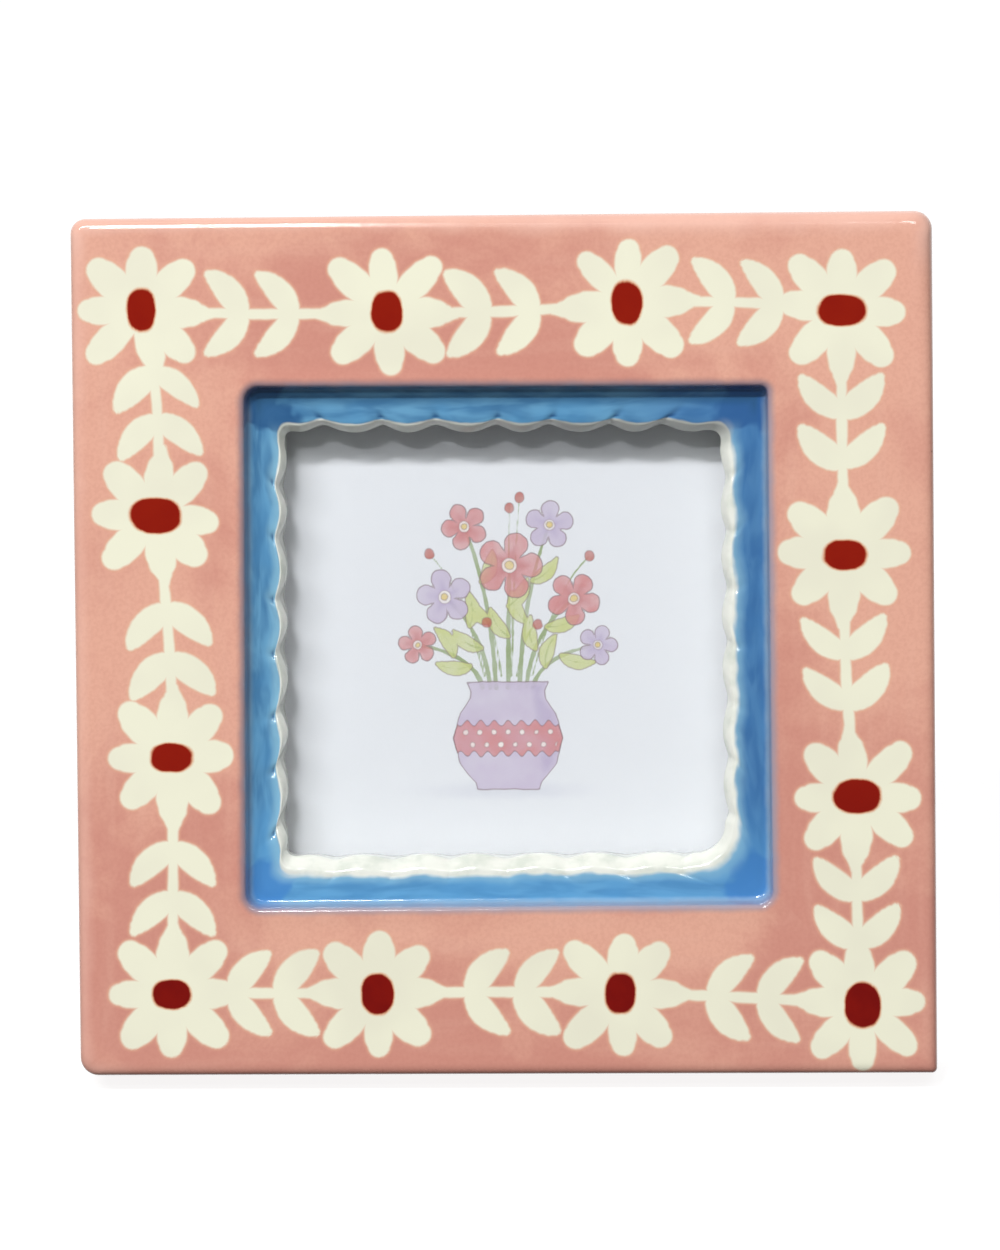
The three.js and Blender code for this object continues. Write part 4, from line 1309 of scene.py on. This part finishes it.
def capped(rows, columns):
    """Faces of a turned grid, with its first and last rows closed by fans of four-cornered faces."""
    half = np.arange(columns // 2 - 1)
    fan = np.stack([half, half + 1, columns - 2 - half, columns - 1 - half], axis=1)
    round_faces = grid_faces(rows, columns, close_columns=True)
    return np.concatenate([round_faces, fan[:, ::-1], (rows - 1) * columns + fan])


def button_screw(name, x, height):
    """Screw with a domed head: two crossed slots with sloping ends are pressed into the dome."""
    profile = [
        (SCREW_SHANK * SCREW_POINT_SHARE, SCREW_TIP),
        (SCREW_SHANK, SCREW_TIP + SCREW_POINT_LENGTH),
        (SCREW_SHANK, SCREW_SEAT),
        (SCREW_HEAD - SCREW_BEVEL[0], SCREW_SEAT),
        (SCREW_HEAD, SCREW_SEAT + SCREW_BEVEL[1]),
    ]
    head_start = len(profile)
    profile += dome(SCREW_HEAD, SCREW_SEAT + SCREW_RIM, SCREW_HEAD_HEIGHT - SCREW_RIM, 34)
    grid_x, grid_height, depth = lathe(profile, 72)
    head = np.arange(len(profile))[:, None] >= head_start
    slots = [smooth(np.abs(a), *SLOT_HALF_WIDTHS) * smooth(np.abs(b), *SLOT_REACHES)
             for a, b in ((grid_x, grid_height), (grid_height, grid_x))]
    depth = depth - np.where(head, SLOT_DEPTH * np.maximum(*slots), 0.0)
    points = stand(grid_x + x, grid_height + height, depth)
    add_piece(f"{name}_piece", points, capped(*depth.shape), brass, "frame", [name])


def turn_button(name, body, x, height):
    """Stamped brass button as a closed ring: its levels, as shares of the way out and depths, run from the
    screw hole over the back to the outline and home over the front.
    The outline is a wide circle round the screw and a narrow one at the tip, joined by the lines that touch
    both; the edges are rounded and the middle of the blade is pressed up a little."""
    side = -math.copysign(1.0, x)
    flank = math.acos((BUTTON_HUB - BUTTON_TIP) / BUTTON_REACH)
    tip_turn = np.linspace(-flank, flank, 24)
    hub_turn = np.linspace(flank, 2.0 * math.pi - flank, 40)
    tip = np.stack([BUTTON_REACH + BUTTON_TIP * np.cos(tip_turn), BUTTON_TIP * np.sin(tip_turn)], axis=1)
    hub = BUTTON_HUB * np.stack([np.cos(hub_turn), np.sin(hub_turn)], axis=1)
    flank_share = np.linspace(0.0, 1.0, 12)[1:-1, None]
    outline = np.concatenate([tip, tip[-1] + (hub[0] - tip[-1]) * flank_share, hub,
                              hub[-1] + (tip[0] - hub[-1]) * flank_share])
    hole = BUTTON_HOLE * outline / np.linalg.norm(outline, axis=1, keepdims=True)
    middle = (BUTTON_FRONT + BUTTON_BACK) / 2.0
    levels = [
        (0.0, middle),
        (0.0, BUTTON_BACK - 0.2),
        (0.06, BUTTON_BACK - 0.02),
        (0.3, BUTTON_BACK),
        (0.7, BUTTON_BACK),
        (0.9, BUTTON_BACK - 0.03),
        (0.97, BUTTON_BACK - 0.14),
        (1.0, BUTTON_BACK - 0.34),
        (1.0, BUTTON_FRONT + 0.15),
        (0.985, BUTTON_FRONT),
        (0.5, BUTTON_FRONT),
        (0.02, BUTTON_FRONT),
    ]
    share, depth = np.array(levels).T[:, :, None]
    ring = hole[None] + (outline - hole)[None] * share[..., None]
    grid_x, grid_height, depth = np.broadcast_arrays(side * ring[..., 0], ring[..., 1], depth)
    points = stand(grid_x + x, grid_height + height, depth)
    faces = grid_faces(*depth.shape, close_rows=True, close_columns=True)
    add_piece(f"{name}_piece", points, faces, brass, body, [name])


def rivet(name, body, place, x, along, stack):
    """Domed rivet through a stack whose front and back depths are given, with a little play at both ends."""
    tail = stack[0] - RIVET_PLAY
    seat = stack[1] + RIVET_PLAY
    profile = [
        (RIVET_TAIL * RIVET_TAIL_SHARE, tail - RIVET_TAIL_HEIGHT),
        (RIVET_TAIL, tail - RIVET_TAIL_HEIGHT + RIVET_BEVEL),
        (RIVET_TAIL, tail),
        (RIVET_SHANK, tail),
        (RIVET_SHANK, seat),
        (RIVET_HEAD - RIVET_BEVEL, seat),
    ]
    profile += dome(RIVET_HEAD, seat + RIVET_RIM, RIVET_HEAD_HEIGHT - RIVET_RIM, 12)
    grid_x, grid_along, depth = lathe(profile)
    points = place(grid_x + x, grid_along + along, depth)
    add_piece(f"{name}_piece", points, capped(*depth.shape), steel, body, [name])


def softened(name, body, look, edge):
    """Copy of a solid with its doubled points merged and its edges a little rounded."""
    source = frame["nodes"][name]
    mesh = source.data.copy()
    mesh.name = f"{name}_piece"
    mesh.materials.clear()
    mesh.materials.append(look)
    piece = bpy.data.objects.new(f"{name}_piece", mesh)
    bpy.context.scene.collection.objects.link(piece)
    weld = piece.modifiers.new("weld", "WELD")
    weld.merge_threshold = 0.00001
    bevel = piece.modifiers.new("edge", "BEVEL")
    bevel.width = edge * MM
    bevel.segments = 2
    bevel.limit_method = "ANGLE"
    bevel.angle_limit = math.radians(40.0)
    mesh.shade_smooth()
    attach(piece, body)
    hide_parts(name)


# Pieces

ceramic_skin()
panel("clear_pane", "glazing_pane", PANE_FRONT, PANE_BACK, PANE_EDGE, clear_glass)
panel("flocked_board", "backing_board", BOARD_FRONT, BODY_DEPTH, BOARD_EDGE, black_flock)
picture_card()
easel_strut()

for level, height_sign in (("upper", 1.0), ("lower", -1.0)):
    for side, side_sign in (("left", -1.0), ("right", 1.0)):
        corner_name = f"{level}_{side}"
        pivot_x = side_sign * BUTTON_ASIDE
        pivot_height = height_sign * BUTTON_LEVEL
        turn_button(f"turn_button_{corner_name}", f"button_{corner_name}", pivot_x, pivot_height)
        button_screw(f"button_screw_{corner_name}", pivot_x, pivot_height)
        softened(f"screw_plug_{corner_name}", "frame", white_nylon, PLUG_EDGE)

for side, side_sign in (("left", -1.0), ("right", 1.0)):
    rivet_x = side_sign * RIVET_SIDE
    rivet(f"board_rivet_{side}", "frame", stand, rivet_x, PIN_HEIGHT + RIVET_DISTANCE, BOARD_STACK)
    rivet(f"strut_rivet_{side}", "strut", hang, rivet_x, RIVET_DISTANCE, STRUT_STACK)
softened("hinge_board_leaf", "frame", steel, HINGE_LEAF_EDGE)
softened("hinge_strut_leaf", "strut", steel, HINGE_LEAF_EDGE)
softened("hinge_pin", "frame", steel, PIN_EDGE)


# Stage, light and camera

def floor_look():
    """Matt grey that glows by itself, so that the ground stays pale and even."""
    look = Look("pale_floor")
    shade = look.mix(look.noise(6.0), FLOOR_GREY, FLOOR_CLOUD)
    white = (1.0, 1.0, 1.0, 1.0)
    return look.finish(base_color=shade, roughness=0.9, emission_color=white, emission_strength=FLOOR_GLOW)


def pale_floor():
    """Flat floor that fills the view behind and in front of the frame."""
    mesh = bpy.data.meshes.new("pale_floor")
    corners = FLOOR_HALF * np.array([(-1, -1, 0), (1, -1, 0), (1, 1, 0), (-1, 1, 0)])
    mesh.from_pydata(corners.tolist(), [], [(0, 1, 2, 3)])
    mesh.materials.append(floor_look())
    floor = bpy.data.objects.new("pale_floor", mesh)
    floor.visible_diffuse = False
    floor.visible_glossy = False
    bpy.context.scene.collection.objects.link(floor)


def direction_to(azimuth, elevation):
    """Unit vector from the frame towards a place at the given angles in degrees; azimuth 0 is in front and
    positive to the right."""
    azimuth, elevation = math.radians(azimuth), math.radians(elevation)
    level = math.cos(elevation)
    return Vector((math.sin(azimuth) * level, -math.cos(azimuth) * level, math.sin(elevation)))


def strip_light(name, left, right, elevation, height, power):
    """Flat light that lies along the frame's width in front of it, from left to right, and is tilted to face
    it. All of it stands at one elevation, so that level edges throw crisp shadows."""
    lamp = bpy.data.lights.new(name, "AREA")
    lamp.shape = "RECTANGLE"
    lamp.size = right - left
    lamp.size_y = height
    lamp.energy = power
    light = bpy.data.objects.new(name, lamp)
    toward = direction_to(0.0, elevation)
    aside = Vector(((left + right) / 2.0, 0.0, 0.0))
    light.location = Vector(face_middle * MM) + toward * LIGHT_DISTANCE + aside
    light.rotation_euler = toward.to_track_quat("Z", "Y").to_euler()
    bpy.context.scene.collection.objects.link(light)


def surroundings(front, behind):
    """Soft room light: dim in front of the frame and bright behind it."""
    world = bpy.data.worlds.new("soft_room")
    world.use_nodes = True
    tree = world.node_tree
    background = tree.nodes["Background"]
    background.inputs["Color"].default_value = (1.0, 1.0, 1.0, 1.0)
    direction = tree.nodes.new("ShaderNodeTexCoord")
    parts = tree.nodes.new("ShaderNodeSeparateXYZ")
    blend = tree.nodes.new("ShaderNodeMapRange")
    for name, value in (("From Min", 0.2), ("From Max", 0.8), ("To Min", front), ("To Max", behind)):
        blend.inputs[name].default_value = value
    tree.links.new(direction.outputs["Generated"], parts.inputs["Vector"])
    tree.links.new(parts.outputs["Y"], blend.inputs["Value"])
    tree.links.new(blend.outputs["Result"], background.inputs["Strength"])
    bpy.context.scene.world = world


def photo_camera():
    """Long lens that looks at the face from the photograph's angles, rolled a little, with the face as far
    from the middle of the picture as there."""
    toward = direction_to(CAMERA_AZIMUTH, CAMERA_ELEVATION)
    level = Vector((0.0, 0.0, 1.0)).cross(toward).normalized()
    upright = toward.cross(level)
    roll = math.radians(CAMERA_ROLL)
    right = math.cos(roll) * level + math.sin(roll) * upright
    top = math.cos(roll) * upright - math.sin(roll) * level
    middle = Vector(face_middle * MM) + (right * PICTURE_ASIDE + top * PICTURE_ABOVE) / PIXELS_PER_METRE
    lens = bpy.data.cameras.new("photo_camera")
    lens.sensor_fit = "VERTICAL"
    lens.sensor_height = SENSOR_HEIGHT
    lens.lens = SENSOR_HEIGHT * PIXELS_PER_METRE * CAMERA_DISTANCE / PICTURE_HEIGHT
    camera = bpy.data.objects.new("photo_camera", lens)
    turn = Matrix((right, top, toward)).transposed().to_4x4()
    camera.matrix_world = Matrix.Translation(middle + toward * CAMERA_DISTANCE) @ turn
    bpy.context.scene.collection.objects.link(camera)
    bpy.context.scene.camera = camera


pale_floor()
surroundings(ROOM_IN_FRONT, ROOM_BEHIND)
for strip_name, strip in STRIPS.items():
    strip_light(strip_name, *strip)
photo_camera()
bpy.context.scene.view_settings.view_transform = "Standard"
